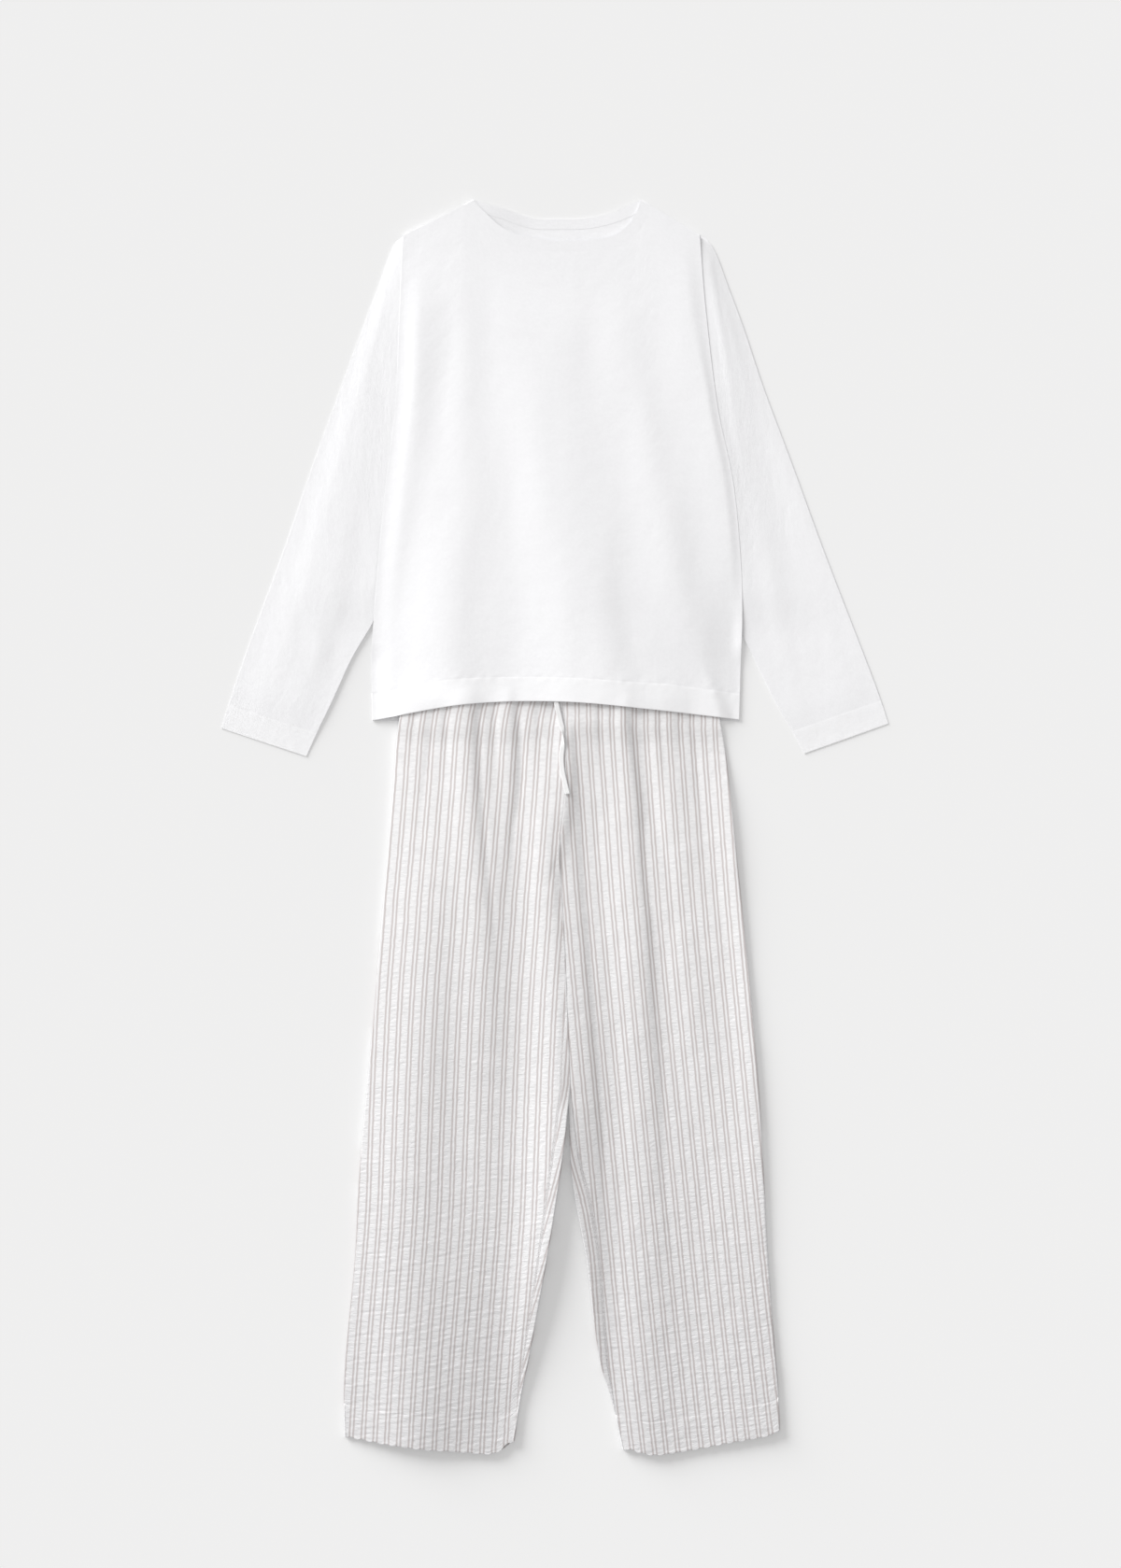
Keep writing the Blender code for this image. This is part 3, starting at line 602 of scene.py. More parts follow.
# %% Striped, crinkled cotton
COTTON = (0.821, 0.815, 0.819)
COTTON_SHADE = (0.766, 0.76, 0.764)
BAND_WHITE = (0.817, 0.813, 0.817)
TAUPE = (0.58, 0.539, 0.533)
# Painted shade: towards their hems the legs' colours are multiplied by this, so the legs darken lower down.
LOWER_PAINTED_SHADE = (0.83, 0.83, 0.835)  # what the colours are multiplied by at the legs' ends
PAINTED_SHADE_DOWN = (0.1, 1.05)  # in metres down the cloth
LOOSENS_DOWN = (0.1, 0.5)
TAUT_SHARE = 0.4  # how much of the puckering is left at the gathers
PUCKER_BUMP = 0.0007
WEAVE_BUMP = 0.00005
striped, tree, shader, cloth = cloth_material("striped_crinkle_cotton", 0.92, 0.05)
lines = use_group(tree, stripes, cloth)
crinkles = use_group(tree, puckers, cloth)
ground = mix_colours(tree, crinkles["Shade"], COTTON_SHADE, COTTON)
ground = mix_colours(tree, lines["Band"], ground, BAND_WHITE)
lined = mix_colours(tree, lines["Lines"], ground, TAUPE)
down = add_node(tree, "ShaderNodeSeparateXYZ", {0: cloth}).outputs["Y"]
# Painted shade, darker towards the hems, read from the coordinate down the cloth.
painted_shade = soft_step(tree, down, *PAINTED_SHADE_DOWN)
tree.links.new(mix_colours(tree, painted_shade, lined, LOWER_PAINTED_SHADE, "MULTIPLY"), shader.inputs["Base Color"])
looser = maths(tree, "MULTIPLY", lines["Slack"], soft_step(tree, down, *LOOSENS_DOWN, TAUT_SHARE, 1.0))
slack_height = maths(tree, "MULTIPLY", maths(tree, "SUBTRACT", crinkles["Height"], 0.5), looser)
normal = bump(tree, slack_height, PUCKER_BUMP)
threads = use_group(tree, weave, cloth)
tree.links.new(bump(tree, threads["Height"], WEAVE_BUMP, normal), shader.inputs["Normal"])

# %% White tape
TAPE_WHITE = (0.84, 0.84, 0.84, 1.0)
TAPE_BUMP = 0.00012
tape, tree, shader, cloth = cloth_material("white_tape", 0.85, 0.05)
threads = use_group(tree, weave, cloth, Thread=0.0007)
shader.inputs["Base Color"].default_value = TAPE_WHITE
tree.links.new(bump(tree, threads["Height"], TAPE_BUMP), shader.inputs["Normal"])

print("materials:", [material.name for material in (jersey, rib, striped, tape)])

# %% [markdown]
# ## The drawstring
# One end of a narrow, soft, flat tape hangs out under the top and lies down the trousers' front. It turns
# over once on its way and ends in a square cut. A flat section with beaded edges is swept along its route:
# it lies flat, curls up narrow while it turns over, and lies flat again.

# %% The drawstring's route
# Centre of the tape from the casing to its free end: x, drop.
DRAWSTRING = (
    (5.5, 24.0), (4.0, 45.0), (2.2, 66.0), (1.7, 83.0), (6.0, 103.0), (10.0, 121.0),
    (9.6, 131.0), (7.8, 146.0), (8.4, 162.0), (11.6, 178.0), (15.0, 192.0),
)
TAPE_WIDTH = 5.8
TAPE_THICKNESS = 1.0
TWIST = (112.0, 26.0)  # start and length, in drop, of its half turn
CURL = 0.45  # how much narrower it is halfway through that
ON_EDGE = 0.42  # share of its width that it stands above its centre there
CASING_STEP = (3.0, 25.0)  # below the casing: start and length of the step down onto the cloth
TAPE_CLEARANCE = 0.3


def drawstring_route(t):
    """Centre of the tape, and how far it has turned over."""
    x, drop = route(DRAWSTRING, t)
    on_casing = JERSEY + SEAM + 2.0 * CASING + SEAM
    on_cloth = np.maximum(*(trouser_front_height(leg, x, drop) for leg in (LEFT_LEG, RIGHT_LEG)))
    under = blend(on_casing, on_cloth, rise(drop - LEG_START, *CASING_STEP))
    turn = math.pi * rise(drop, *TWIST)
    on_edge = ON_EDGE * (1.0 - CURL) * TAPE_WIDTH * np.abs(np.sin(turn))
    half_height = 0.5 * TAPE_THICKNESS * np.abs(np.cos(turn)) + on_edge
    return np.array([x, WAIST_Y - drop, under + TAPE_CLEARANCE + half_height]), turn


# %% The tape's section
AROUND_TAPE = 16
BEAD = (0.35, 2.5, 0.5)  # thicker edge: by how much of the thickness, how far from the centre, how wide


def signed_power(value, power):
    return np.sign(value) * np.abs(value) ** power


angle = np.linspace(0.0, 2.0 * math.pi, AROUND_TAPE + 1)
wide_part = signed_power(np.cos(angle), 0.5) * TAPE_WIDTH / 2.0
edge_bead = 1.0 + BEAD[0] * bell(np.abs(wide_part) - BEAD[1], BEAD[2])
thick_part = signed_power(np.sin(angle), 0.7) * TAPE_THICKNESS / 2.0 * edge_bead

# %% The tape, swept along its route
TAPE_POINTS = 120
TAPE_LENGTH = 170.0
t = np.linspace(0.0, 1.0, TAPE_POINTS)
centre, turn = drawstring_route(t)
ahead = np.gradient(centre, axis=1)
ahead /= np.linalg.norm(ahead, axis=0)
flat_across = np.cross(ahead, np.array([[0.0], [0.0], [1.0]]), axis=0)
flat_across /= np.linalg.norm(flat_across, axis=0)
flat_up = np.cross(flat_across, ahead, axis=0)
wide = (flat_across * np.cos(turn) + flat_up * np.sin(turn)) * (1.0 - CURL * np.sin(turn))
thick = flat_up * np.cos(turn) - flat_across * np.sin(turn)
places = centre[:, :, None] + wide[:, :, None] * wide_part - thick[:, :, None] * thick_part
across = angle / (2.0 * math.pi) * 2.0 * TAPE_WIDTH
mesh = lay_grid("drawstring_tape", *places, across, (t * TAPE_LENGTH)[:, None], around=True)
face_outwards(mesh, close_ends=True)
drawstring = finish_piece("drawstring_tape", mesh, tape, ["drawstring"])
tape_length = float(np.sum(np.linalg.norm(np.diff(centre, axis=1), axis=0)))
print("drawstring", round(tape_length), "mm long")

# %% [markdown]
# ## The top's outline
# The top is cut as a front and a back body panel with a long sleeve on each side. Each body panel is
# bounded by four curves: the shoulders and the neckline above, the hem below and the two sides. A Coons
# patch fills four curves with a smooth net, so that rows of the net run along the hem and columns run along
# the sides.

# %% Tables of the top
NECKBAND_WIDTH = 12.0
TOP_HEM = 30.0
SHOULDER_SHARE = 0.2
TUCKED_IN = 0.6
SHOULDER_DIRECTION = (0.88, 0.475)
LEAVES_BODY = 495.0

# Side edges of the top's front: drop, left x, right x.
BODY_SIDES = (
    (42.0, -179.0, 170.5),
    (124.0, -182.5, 177.0),
    (243.0, -188.0, 191.5),
    (333.0, -199.0, 210.0),
    (429.0, -208.0, 219.0),
    (495.0, -213.4, 220.5),
    (536.0, -215.6, 219.0),
    (BACK_LENGTH, -214.5, 216.7),
)
# Front hem of the top: x, drop.
FRONT_HEM = ((-214.5, 612.0), (-103.0, 593.0), (6.5, 590.0), (116.5, 599.5), (216.7, 611.0))
# Free edge of the neckband, in front and behind: x, drop.
NECK_FRONT = (
    (-96.0, 0.0), (-82.5, 14.0), (-62.0, 32.0), (-38.5, 42.0), (6.5, 48.4),
    (51.5, 45.7), (72.0, 40.5), (88.5, 26.5), (99.0, 7.0), (101.0, 0.0),
)
NECK_BACK = ((-96.0, 0.0), (-62.5, 9.0), (-26.0, 21.0), (3.0, 22.0), (38.5, 21.0), (69.5, 14.0), (101.0, 0.0))
# Sleeves, a row for each section from armhole to cuff: outer x, outer drop, inner x, inner drop.
SLEEVE_LEFT = (
    (-177.0, 40.0, -186.0, 321.0),
    (-188.0, 50.0, -187.0, 335.0),
    (-197.0, 70.0, -188.0, 350.0),
    (-208.0, 102.0, -190.0, 370.0),
    (-226.0, 150.0, -192.5, 395.0),
    (-251.0, 219.0, -195.0, 425.0),
    (-284.0, 310.0, -199.0, 458.0),
    (-316.5, 405.0, -213.4, 495.0),
    (-349.5, 495.0, -239.5, 540.0),
    (-371.0, 555.0, -262.0, 589.0),
    (-383.5, 593.0, -280.0, 626.5),
    (-392.7, 621.5, -292.6, 654.5),
)
SLEEVE_RIGHT = (
    (170.5, 40.0, 197.0, 321.0),
    (181.0, 48.0, 198.5, 335.0),
    (191.0, 66.0, 200.0, 350.0),
    (202.0, 96.0, 202.0, 370.0),
    (222.0, 150.0, 204.5, 395.0),
    (245.0, 219.0, 206.0, 425.0),
    (279.0, 310.0, 207.5, 458.0),
    (313.7, 405.0, 213.5, 495.0),
    (348.2, 495.0, 235.0, 540.0),
    (371.0, 554.0, 259.0, 589.0),
    (383.5, 588.0, 279.5, 624.0),
    (392.7, 616.0, 293.7, 651.2),
)

# %% Helpers for the top's outline
NECK_STEP = 0.01  # share of the neckline's length over which its direction is read
SHOULDER_BLEND = 0.1  # share of it, from each end, over which that turns into the shoulder's


def shoulder_slope(t):
    """The shoulder's direction from the neck, in x and drop."""
    outwards, down = SHOULDER_DIRECTION
    return np.copysign(outwards, np.asarray(t) - 0.5), np.full(np.shape(t), down)


def neck_edge(points, t, offset):
    """Points offset outwards from the neck's free edge, and along the shoulder at the curve's two ends."""
    t = np.asarray(t, float)
    x, drop = route(points, t)
    x2, drop2 = route(points, np.minimum(t + NECK_STEP, 1.0))
    x1, drop1 = route(points, np.maximum(t - NECK_STEP, 0.0))
    along_x, along_drop = x2 - x1, drop2 - drop1
    size = np.hypot(along_x, along_drop)
    slope_x, slope_drop = shoulder_slope(t)
    share = 1.0 - ease(np.minimum(t, 1.0 - t) / SHOULDER_BLEND)
    away_x = blend(-along_drop / size, slope_x, share)
    away_drop = blend(along_x / size, slope_drop, share)
    size = np.hypot(away_x, away_drop)
    return x + away_x / size * offset, drop + away_drop / size * offset


def patch(top, bottom, left, right, u, v):
    """Blends four edge curves, whose corners meet, into points. Each gives an x and a drop."""
    start, end = np.float64(0.0), np.float64(1.0)
    points = []
    for axis in range(2):
        across = blend(left(v)[axis], right(v)[axis], u)
        down = blend(top(u)[axis], bottom(u)[axis], v)
        upper = blend(top(start)[axis], top(end)[axis], u)
        lower = blend(bottom(start)[axis], bottom(end)[axis], u)
        points.append(across + down - blend(upper, lower, v))
    return points


def shoulders_and_neck(tips, neck, u):
    """The upper edge of a body panel: left shoulder, neckband seam, right shoulder."""
    share = SHOULDER_SHARE
    offset = NECKBAND_WIDTH - TUCKED_IN
    start = neck_edge(neck, 0.0, offset)
    end = neck_edge(neck, 1.0, offset)
    middle = neck_edge(neck, np.clip((u - share) / (1.0 - 2.0 * share), 0.0, 1.0), offset)
    edges = []
    for axis in range(2):
        left = blend(tips[0][axis], start[axis], u / share)
        right = blend(end[axis], tips[1][axis], (u - 1.0 + share) / share)
        edges.append(np.where(u < share, left, np.where(u > 1.0 - share, right, middle[axis])))
    return edges


def body_side(column, drop):
    return read(BODY_SIDES, column, drop)


print("top:", round(BODY_SIDES[-1][2] - BODY_SIDES[-1][1]), "mm wide at its hem and", BACK_LENGTH, "mm long")

# %% [markdown]
# ## The top's front
# The front panel lies over everything: the neckband's seam, the inner halves of the sleeves and the
# trousers' waist. Its folds are soft and shallow, because jersey is heavy and drapes. Towards each side it
# slopes down to the seam. It clears the trousers' own folds below it by a little. The hem is turned under
# for 30 mm, which makes that band a little thicker, and a row of stitching holds it in a shallow groove.

# %% Folds of the front
# Folds: left flank, right flank, then stops of drop, x and height.
TOP_FOLDS = (
    (19.0, 16.0, ((60, -223, -0.8), (130, -170, 0.2), (250, -166, 0.9), (360, -179, 1.1), (500, -194, 0.1),
                  (610, -170, 1.1))),
    (45.0, 44.0, ((60, -173, 0.9), (130, -131, 3.0), (250, -129, 3.0), (340, -113, 1.8), (442, -127, 2.2),
                  (528, -132, 2.8), (620, -126, 3.4))),
    (48.0, 76.0, ((60, -91, 1.0), (130, -38, 2.1), (250, -21, 3.9), (340, -2, 4.4), (442, 18, 4.1),
                  (546, 24, 3.9), (620, 18, 4.2))),
    (29.0, 23.0, ((60, 59, -0.4), (130, 77, 0.5), (225, 95, 1.3), (305, 113, 1.2), (385, 132, 1.6),
                  (500, 159, 1.4), (620, 203, -1.8))),
    (33.0, 12.0, ((60, 157, 1.3), (130, 164, 1.0), (220, 178, 1.2), (320, 196, 1.2), (440, 214, 0.5),
                  (540, 223, -1.8), (620, 239, -2.2))),
    (24.0, 66.0, ((250, 64, 0), (360, 87, -0.2), (450, 84, -0.9), (540, 99, -2.2), (620, 116, -0.5))),
    (45.0, 38.0, ((490, 84, 0), (585, 84, 2.2), (620, 84, 2.4))),
    (27.0, 22.0, ((60, -163, 0.2), (130, -130, -1.7), (250, -136, -1.9), (340, -137, 0))),
)
FRONT_RUMPLE = (0.12, 60.0, 170.0, 3)

# %% Levels of the front
SHELL = 0.45
LEVEL_NECK = 3.4
LEVEL_SIDE_SEAM = JERSEY + SEAM
LEVEL_SHOULDER_SEAM = 1.3
LEVEL_ON_SLEEVES = (2.75, 2.9)  # on the left and the right
LEVEL_CHEST = 3.2
LOWEST_CHEST = 1.0
LEVEL_ON_TROUSERS = 8.5
CLEAR_OF_TROUSERS = 0.6
MIDDLE = (-60.0, 120.0)  # the change from left to right: start and length, in x
NECK_BLEND = 0.18  # share of the width, from each side, over which the neckband's level is reached
SOFT_TOP = 110.0  # distance from the shoulders over which the folds begin
SOFT_SIDES = (24.0, 13.0)  # width of the slope at each side, on the left and lower on the right
RIGHT_STEEPENS = (120.0, 110.0)
SIDE_DROP = (25.0, 30.0)  # below the sleeve: start and length of the side seam's step down to the floor
WAIST_RISE = (100.0, 490.0)
WAIST_RIM = (-2.0, 112.0)
ONTO_WAIST = (-60.0, 80.0)  # from the waist down: start and length of the step onto the trousers
PAST_TROUSERS = (-3.0, 26.0)  # from the trousers' edge: start and length of the step down beside them
RIM = 12.0  # width at each side that stays down
EDGE_ROW = 0.1
EDGE_TURN = 0.12
NECK_TIP_LIFT = 2.0
NECK_TIP_REACH = (8.0, 72.0)


def neck_lift(x, drop):
    """How far the fold at each end of the neckline holds the back up."""
    from_tip = np.minimum(np.hypot(x - NECK_BACK[0][0], drop), np.hypot(x - NECK_BACK[-1][0], drop))
    return NECK_TIP_LIFT * (1.0 - rise(from_tip, *NECK_TIP_REACH))


def soft_maximum(a, b):
    """The larger of two heights, with the corner between them rounded."""
    return (a + b + np.sqrt((a - b) ** 2 + 1.0)) / 2.0


def level_on_trousers(x, drop):
    """Just above the trousers' front, and down to the floor above their waist and beside them."""
    from_waist = drop - (SHOULDER_Y - WAIST_Y)
    legs = [trouser_front_height(leg, x, from_waist, creased=False) for leg in (LEFT_LEG, RIGHT_LEG)]
    under = np.where(x < read(LEGS, 2, from_waist), *legs)
    past = np.maximum(read(LEGS, 1, from_waist) - x, x - read(LEGS, 4, from_waist))
    return (under + CLEAR_OF_TROUSERS) * rise(from_waist, *ONTO_WAIST) * (1.0 - rise(past, *PAST_TROUSERS))


def front_level(x, drop, from_side, edge_share, from_top):
    """Outer surface of the top's front."""
    right = rise(x, *MIDDLE)
    on_sleeve = blend(*LEVEL_ON_SLEEVES, right)
    neck = blend(on_sleeve, LEVEL_NECK, ease(edge_share / NECK_BLEND))
    rim = blend(on_sleeve, LEVEL_SIDE_SEAM, rise(drop - LEAVES_BODY, *SIDE_DROP))
    relief = fold_height(TOP_FOLDS, x, drop) + rumple(FRONT_RUMPLE, x, drop)
    chest = np.maximum(LEVEL_CHEST + relief, LOWEST_CHEST)
    soft_side = blend(*SOFT_SIDES, right * rise(drop, *RIGHT_STEEPENS))
    flat = blend(neck, blend(rim, chest, ease(from_side / soft_side)), ease(from_top / SOFT_TOP))
    on_waist = rise(drop, *WAIST_RISE) * rise(from_side, *WAIST_RIM)
    lifted = soft_maximum(blend(flat, LEVEL_ON_TROUSERS + relief, on_waist), level_on_trousers(x, drop))
    level = np.maximum(flat, blend(flat, lifted, rise(from_side, 0.0, RIM))) + JERSEY
    seam = LEVEL_SHOULDER_SEAM + neck_lift(x, drop)
    seamed = blend(seam, level, np.clip(from_top / EDGE_ROW, 0.0, 1.0))
    turned = blend(rim + JERSEY - SHELL, level, round_over(from_side, EDGE_TURN))
    return np.minimum(turned, np.where(edge_share < SHOULDER_SHARE, seamed, level))


# %% Helpers for turned-up hems
HEM_RADIUS = 0.5
HEM_TURN_STEPS = 6
HEM_INNER_ROWS = 7
HEM_INNER_SPAN = (2.4, 1.3)  # where those begin, above the edge, and end, above the stitching
HEM_THICKNESS = 0.06
STITCH_GROOVE = (0.05, 0.9)  # depth and width
STITCH_ROWS = (1.6, 0.5)  # fine rows beside the stitching: their reach and pitch


def with_hem(run, hem, row_pitch):
    """Rows for a piece of that length: how far down each row is, and how far it has turned round the hem."""
    line = run - hem
    reach, pitch = STITCH_ROWS
    down = steps(
        (0.0,), (2.0 * EDGE_ROW, EDGE_ROW), (line - 6.0, row_pitch), (line - reach, 1.5),
        (line + reach, pitch), (run - 4.0, row_pitch), (run, 1.0),
    )
    round_edge = np.linspace(0.0, math.pi, HEM_TURN_STEPS + 1)[1:]
    inner = np.linspace(run - HEM_INNER_SPAN[0], line - HEM_INNER_SPAN[1], HEM_INNER_ROWS)
    turn = np.concatenate([np.zeros(len(down)), round_edge, np.full(len(inner), math.pi)])
    return np.concatenate([down, np.full(len(round_edge), run), inner]), turn


def hem_relief(down, run, hem, thickness=HEM_THICKNESS):
    """The step onto the doubled hem, and the groove of its stitching."""
    line = run - hem
    depth, width = STITCH_GROOVE
    return thickness * rise(down, line - 1.0, 2.2) - depth * bell(down - line, width)


def cloth_length(down, turn):
    """How far down the cloth each row is, round the hem and back up inside."""
    return running_sum(np.abs(np.diff(down)) + HEM_RADIUS * np.abs(np.diff(turn)))


def doubled_below(length, run, hem):
    """0 above a hem's stitching and 1 below it."""
    return rise(length, run - hem - 0.6, 1.2)


# %% Edges of the front
FRONT_TOP = BODY_SIDES[0][0]
FRONT_SPAN = FRONT_HEM[0][1] - FRONT_TOP
SHOULDER_TIPS = ((BODY_SIDES[0][1], FRONT_TOP), (BODY_SIDES[0][2], FRONT_TOP))


def front_side(column, end):
    """One side of the front, as a curve from its shoulder tip to the drop of its hem."""
    def edge(s):
        drop = blend(FRONT_TOP, end, s)
        return body_side(column, drop), drop
    return edge


def front_top(s):
    return shoulders_and_neck(SHOULDER_TIPS, NECK_FRONT, s)


def front_hem(s):
    x = blend(FRONT_HEM[0][0], FRONT_HEM[-1][0], s)
    return x, read(FRONT_HEM, 1, x)


# %% Front of the top
HEM_RUMPLE = (0.12, 7.0, 14.0, 11)
HEM_RUMPLE_REACH = 7.0
NEAR_SIDE = np.array([0.0, 0.01, 0.04, 0.09, 0.16, 0.3, 0.9, 3.0])
FRONT_WIDTH = 400.0
FRONT_COLUMNS = (5.5, 138)  # margin and number
FRONT_ROW = 3.1
CLOTH_START = 300.0  # keeps the cloth coordinate across a piece above 0


def front_surface(u, down):
    """Places of the top's front from a share across it and a distance down it."""
    sides = front_side(1, FRONT_HEM[0][1]), front_side(2, FRONT_HEM[-1][1])
    x, drop = patch(front_top, front_hem, *sides, u, down / FRONT_SPAN)
    edge_share = np.minimum(u, 1.0 - u)
    from_side = (body_side(2, drop) - body_side(1, drop)) * edge_share
    z = front_level(x, drop, from_side, edge_share, down) + hem_relief(down, FRONT_SPAN, TOP_HEM)
    z = z + rumple(HEM_RUMPLE, x, drop) * bell(down - FRONT_SPAN + TOP_HEM, HEM_RUMPLE_REACH)
    return x, drop, z


down, turn = with_hem(FRONT_SPAN, TOP_HEM, FRONT_ROW)
u, rows = np.meshgrid(shares_across(FRONT_WIDTH, NEAR_SIDE, *FRONT_COLUMNS), down)
x, drop, z = front_surface(u, rows)
drop = drop + HEM_RADIUS * np.sin(turn)[:, None]
z = z - HEM_RADIUS * (1.0 - np.cos(turn))[:, None]
length = cloth_length(down, turn)
doubled = doubled_below(length, FRONT_SPAN, TOP_HEM)
mesh = lay_grid("front_of_top", x, SHOULDER_Y - drop, z, x + CLOTH_START, length[:, None], doubled=doubled)
front_of_top = finish_piece("front_of_top", mesh, jersey, ["top_front"], SHELL)

# %% [markdown]
# ## The top's back
# The back lies flat on the floor, apart from the two ends of the neckline, where the fold holds it up. It
# shows inside the neckline and as a sliver under the front's hem, and from behind it is the whole body. Its
# sides stop at the sleeves' inner folds and then follow the side seams.

# %% Edges of the back
BACK_START = 40.0
BACK_SPAN = BACK_LENGTH - BACK_START


def back_side(rows, column, side):
    """One side of the back, as a curve: beside the sleeve at first, then along the side seam."""
    inner = np.array([(rows[0][1], rows[0][0])] + [(row[3], row[2]) for row in rows])

    def edge(s):
        drop = BACK_START + BACK_SPAN * s
        beside = np.interp(drop, inner[:, 0], inner[:, 1]) - side * SEAM
        return np.where(drop > LEAVES_BODY, body_side(column, drop), beside), drop
    return edge


back_sides = back_side(SLEEVE_LEFT, 1, -1.0), back_side(SLEEVE_RIGHT, 2, 1.0)


def back_top(s):
    return shoulders_and_neck([edge(np.float64(0.0)) for edge in back_sides], NECK_BACK, s)


def back_hem(s):
    left, right = (edge(np.float64(1.0))[0] for edge in back_sides)
    return blend(left, right, s), np.full(np.shape(s), BACK_LENGTH)


# %% Back of the top
BACK_LEVEL = 0.82
BACK_RUMPLE = (0.12, 70.0, 120.0, 5)
BACK_WIDTH = 400.0
BACK_RIM = 20.0
BACK_EDGE = EDGE_ROW / BACK_WIDTH
BACK_ROW = 7.0
BACK_COLUMN = 0.011  # share of the width

down = steps((0.0,), (EDGE_ROW, EDGE_ROW), (BACK_SPAN - EDGE_ROW, BACK_ROW), (BACK_SPAN, EDGE_ROW))
shares = steps((0.0,), (BACK_EDGE, BACK_EDGE), (1.0 - BACK_EDGE, BACK_COLUMN), (1.0, BACK_EDGE))
u, rows = np.meshgrid(shares, down)
x, drop = patch(back_top, back_hem, *back_sides, u, rows / BACK_SPAN)
from_side = np.minimum(u, 1.0 - u) * BACK_WIDTH
soft = rumple(BACK_RUMPLE, x, drop) * ease(from_side / BACK_RIM) * ease(rows / BACK_RIM)
z = BACK_LEVEL + soft + neck_lift(x, drop)
mesh = lay_grid("back_of_top", x, SHOULDER_Y - drop, z, x + CLOTH_START, rows)
back_of_top = finish_piece("back_of_top", mesh, jersey, ["top_back"], SHELL)

# %% [markdown]
# ## The sleeves
# A sleeve is one piece of jersey, folded along its upper edge and seamed under the arm. Laid flat it is a
# tube pressed flat, so the grid wraps all the way round: over the upper layer, round the fold, back under
# the lower layer and round the other fold. The cuff is turned in like the hem.

# %% Folds and levels of the sleeves
CUFF_HEM = 29.0
# Folds along the sleeves: left flank, right flank, then stops of drop, x and height.
SLEEVE_FOLDS = (
    (29.0, 17.0, ((80, -211, 0.9), (200, -223, 0.6), (330, -236, 0.7), (480, -272, 0.6), (620, -301, 0.5))),
    (32.0, 14.0, ((260, -182, 0), (380, -236, 0.1), (500, -263, 0.6), (620, -295, 0.2))),
    (45.0, 28.0, ((120, -240, 0), (250, -253, 0.5), (400, -288, 1.0), (520, -321, 1.0), (620, -341, 0.4))),
    (14.0, 15.0, ((80, 202, 0.2), (150, 206, 0.7), (250, 222, 0.5), (330, 232, 0.1), (430, 258, 0.4),
                  (520, 267, 0.4), (620, 276, 0))),
    (35.0, 42.0, ((220, 195, 0), (330, 254, -1.1), (450, 288, -0.7), (560, 353, 0.6), (640, 349, 0.5))),
    (5.0, 6.0, ((50, 178, 0.5), (125, 190, 0.7), (200, 203, 0.4), (300, 218, 0))),
)
SLEEVE_RUMPLE = (0.1, 40.0, 90.0, 8)
SLEEVE_SHELL = 0.15
SLEEVE_LOW = 0.75  # lowest height of the upper layer
SLEEVE_MIDDLE = 0.27  # height of the two folds
SLEEVE_TURN = 0.03  # radius of the two folds
SOFT_SLEEVE, SOFT_RUMPLE = 45.0, 20.0  # widths beside the two folds over which the relief begins
SMOOTH_NEAR_BODY = 8.0
LEFT_RISES, RIGHT_RISES = (2.8, 1.4), (2.8, 0.9)  # of the upper layer, beside the body and below it
RISE_CHANGES = (-40.0, 60.0)  # start and length, from where the sleeve leaves the body
FLOOR_CLEARANCE = 0.05
UNDER_FRONT = (6.0, 14.0)  # how far the armhole's edge reaches in under the front, and over what length
UNDER_BODY = 0.55  # how much lower a sleeve is where the front lies on it
SLIPS_UNDER = (-0.3, 3.0)  # start and length of that, from the body's side
CUFF_EDGE = 0.45
CUFF_FLATTENING = 0.85
CUFF_REACH = 60.0
CUFF_RADIUS = 0.09
CUFF_THICKNESS = 0.1
CUFF_AHEAD = 8.0  # length over which the cuff's direction is measured
FLAT_WIDTH = 200.0
SLEEVE_ROW = 5.2
SLEEVE_UPPER, SLEEVE_LOWER = (6.5, 46), (12.0, 18)  # margin and columns of each layer
NEAR_FOLD = np.array([0.0, 0.004, 0.01, 0.02, 0.03, 0.06, 0.3, 1.6, 3.8])

# %% Helpers for the sleeves
def upper_layer(x, drop, from_edge, share_in, rises):
    """Height of a sleeve's upper layer without its cuff: highest at the body, with its folds."""
    fades_in = 1.0 - ease(1.0 - (1.0 - share_in) * SMOOTH_NEAR_BODY)
    relief = fold_height(SLEEVE_FOLDS, x, drop) * ease(from_edge / SOFT_SLEEVE) * fades_in
    relief = relief + rumple(SLEEVE_RUMPLE, x, drop) * ease(from_edge / SOFT_RUMPLE)
    body_rise, free_rise = rises
    on_body = 1.0 - rise(drop, LEAVES_BODY + RISE_CHANGES[0], RISE_CHANGES[1])
    return np.maximum(SLEEVE_LOW + blend(free_rise, body_rise, on_body) * share_in + relief, SLEEVE_LOW)


def body_edge(sections, column, drop):
    """Where the sleeve goes under the front, and below that its own inner edge."""
    inner_at = np.interp(drop, sections[:, 3], sections[:, 2])
    return np.where(drop < LEAVES_BODY, body_side(column, drop), inner_at)


def direction_at_end(table, run):
    """The sleeve's direction at its cuff, in x and drop."""
    ahead = np.array([read(table, k, run) - read(table, k, run - CUFF_AHEAD) for k in range(1, 5)])
    ahead = ahead[:2] + ahead[2:]
    return ahead / np.linalg.norm(ahead)


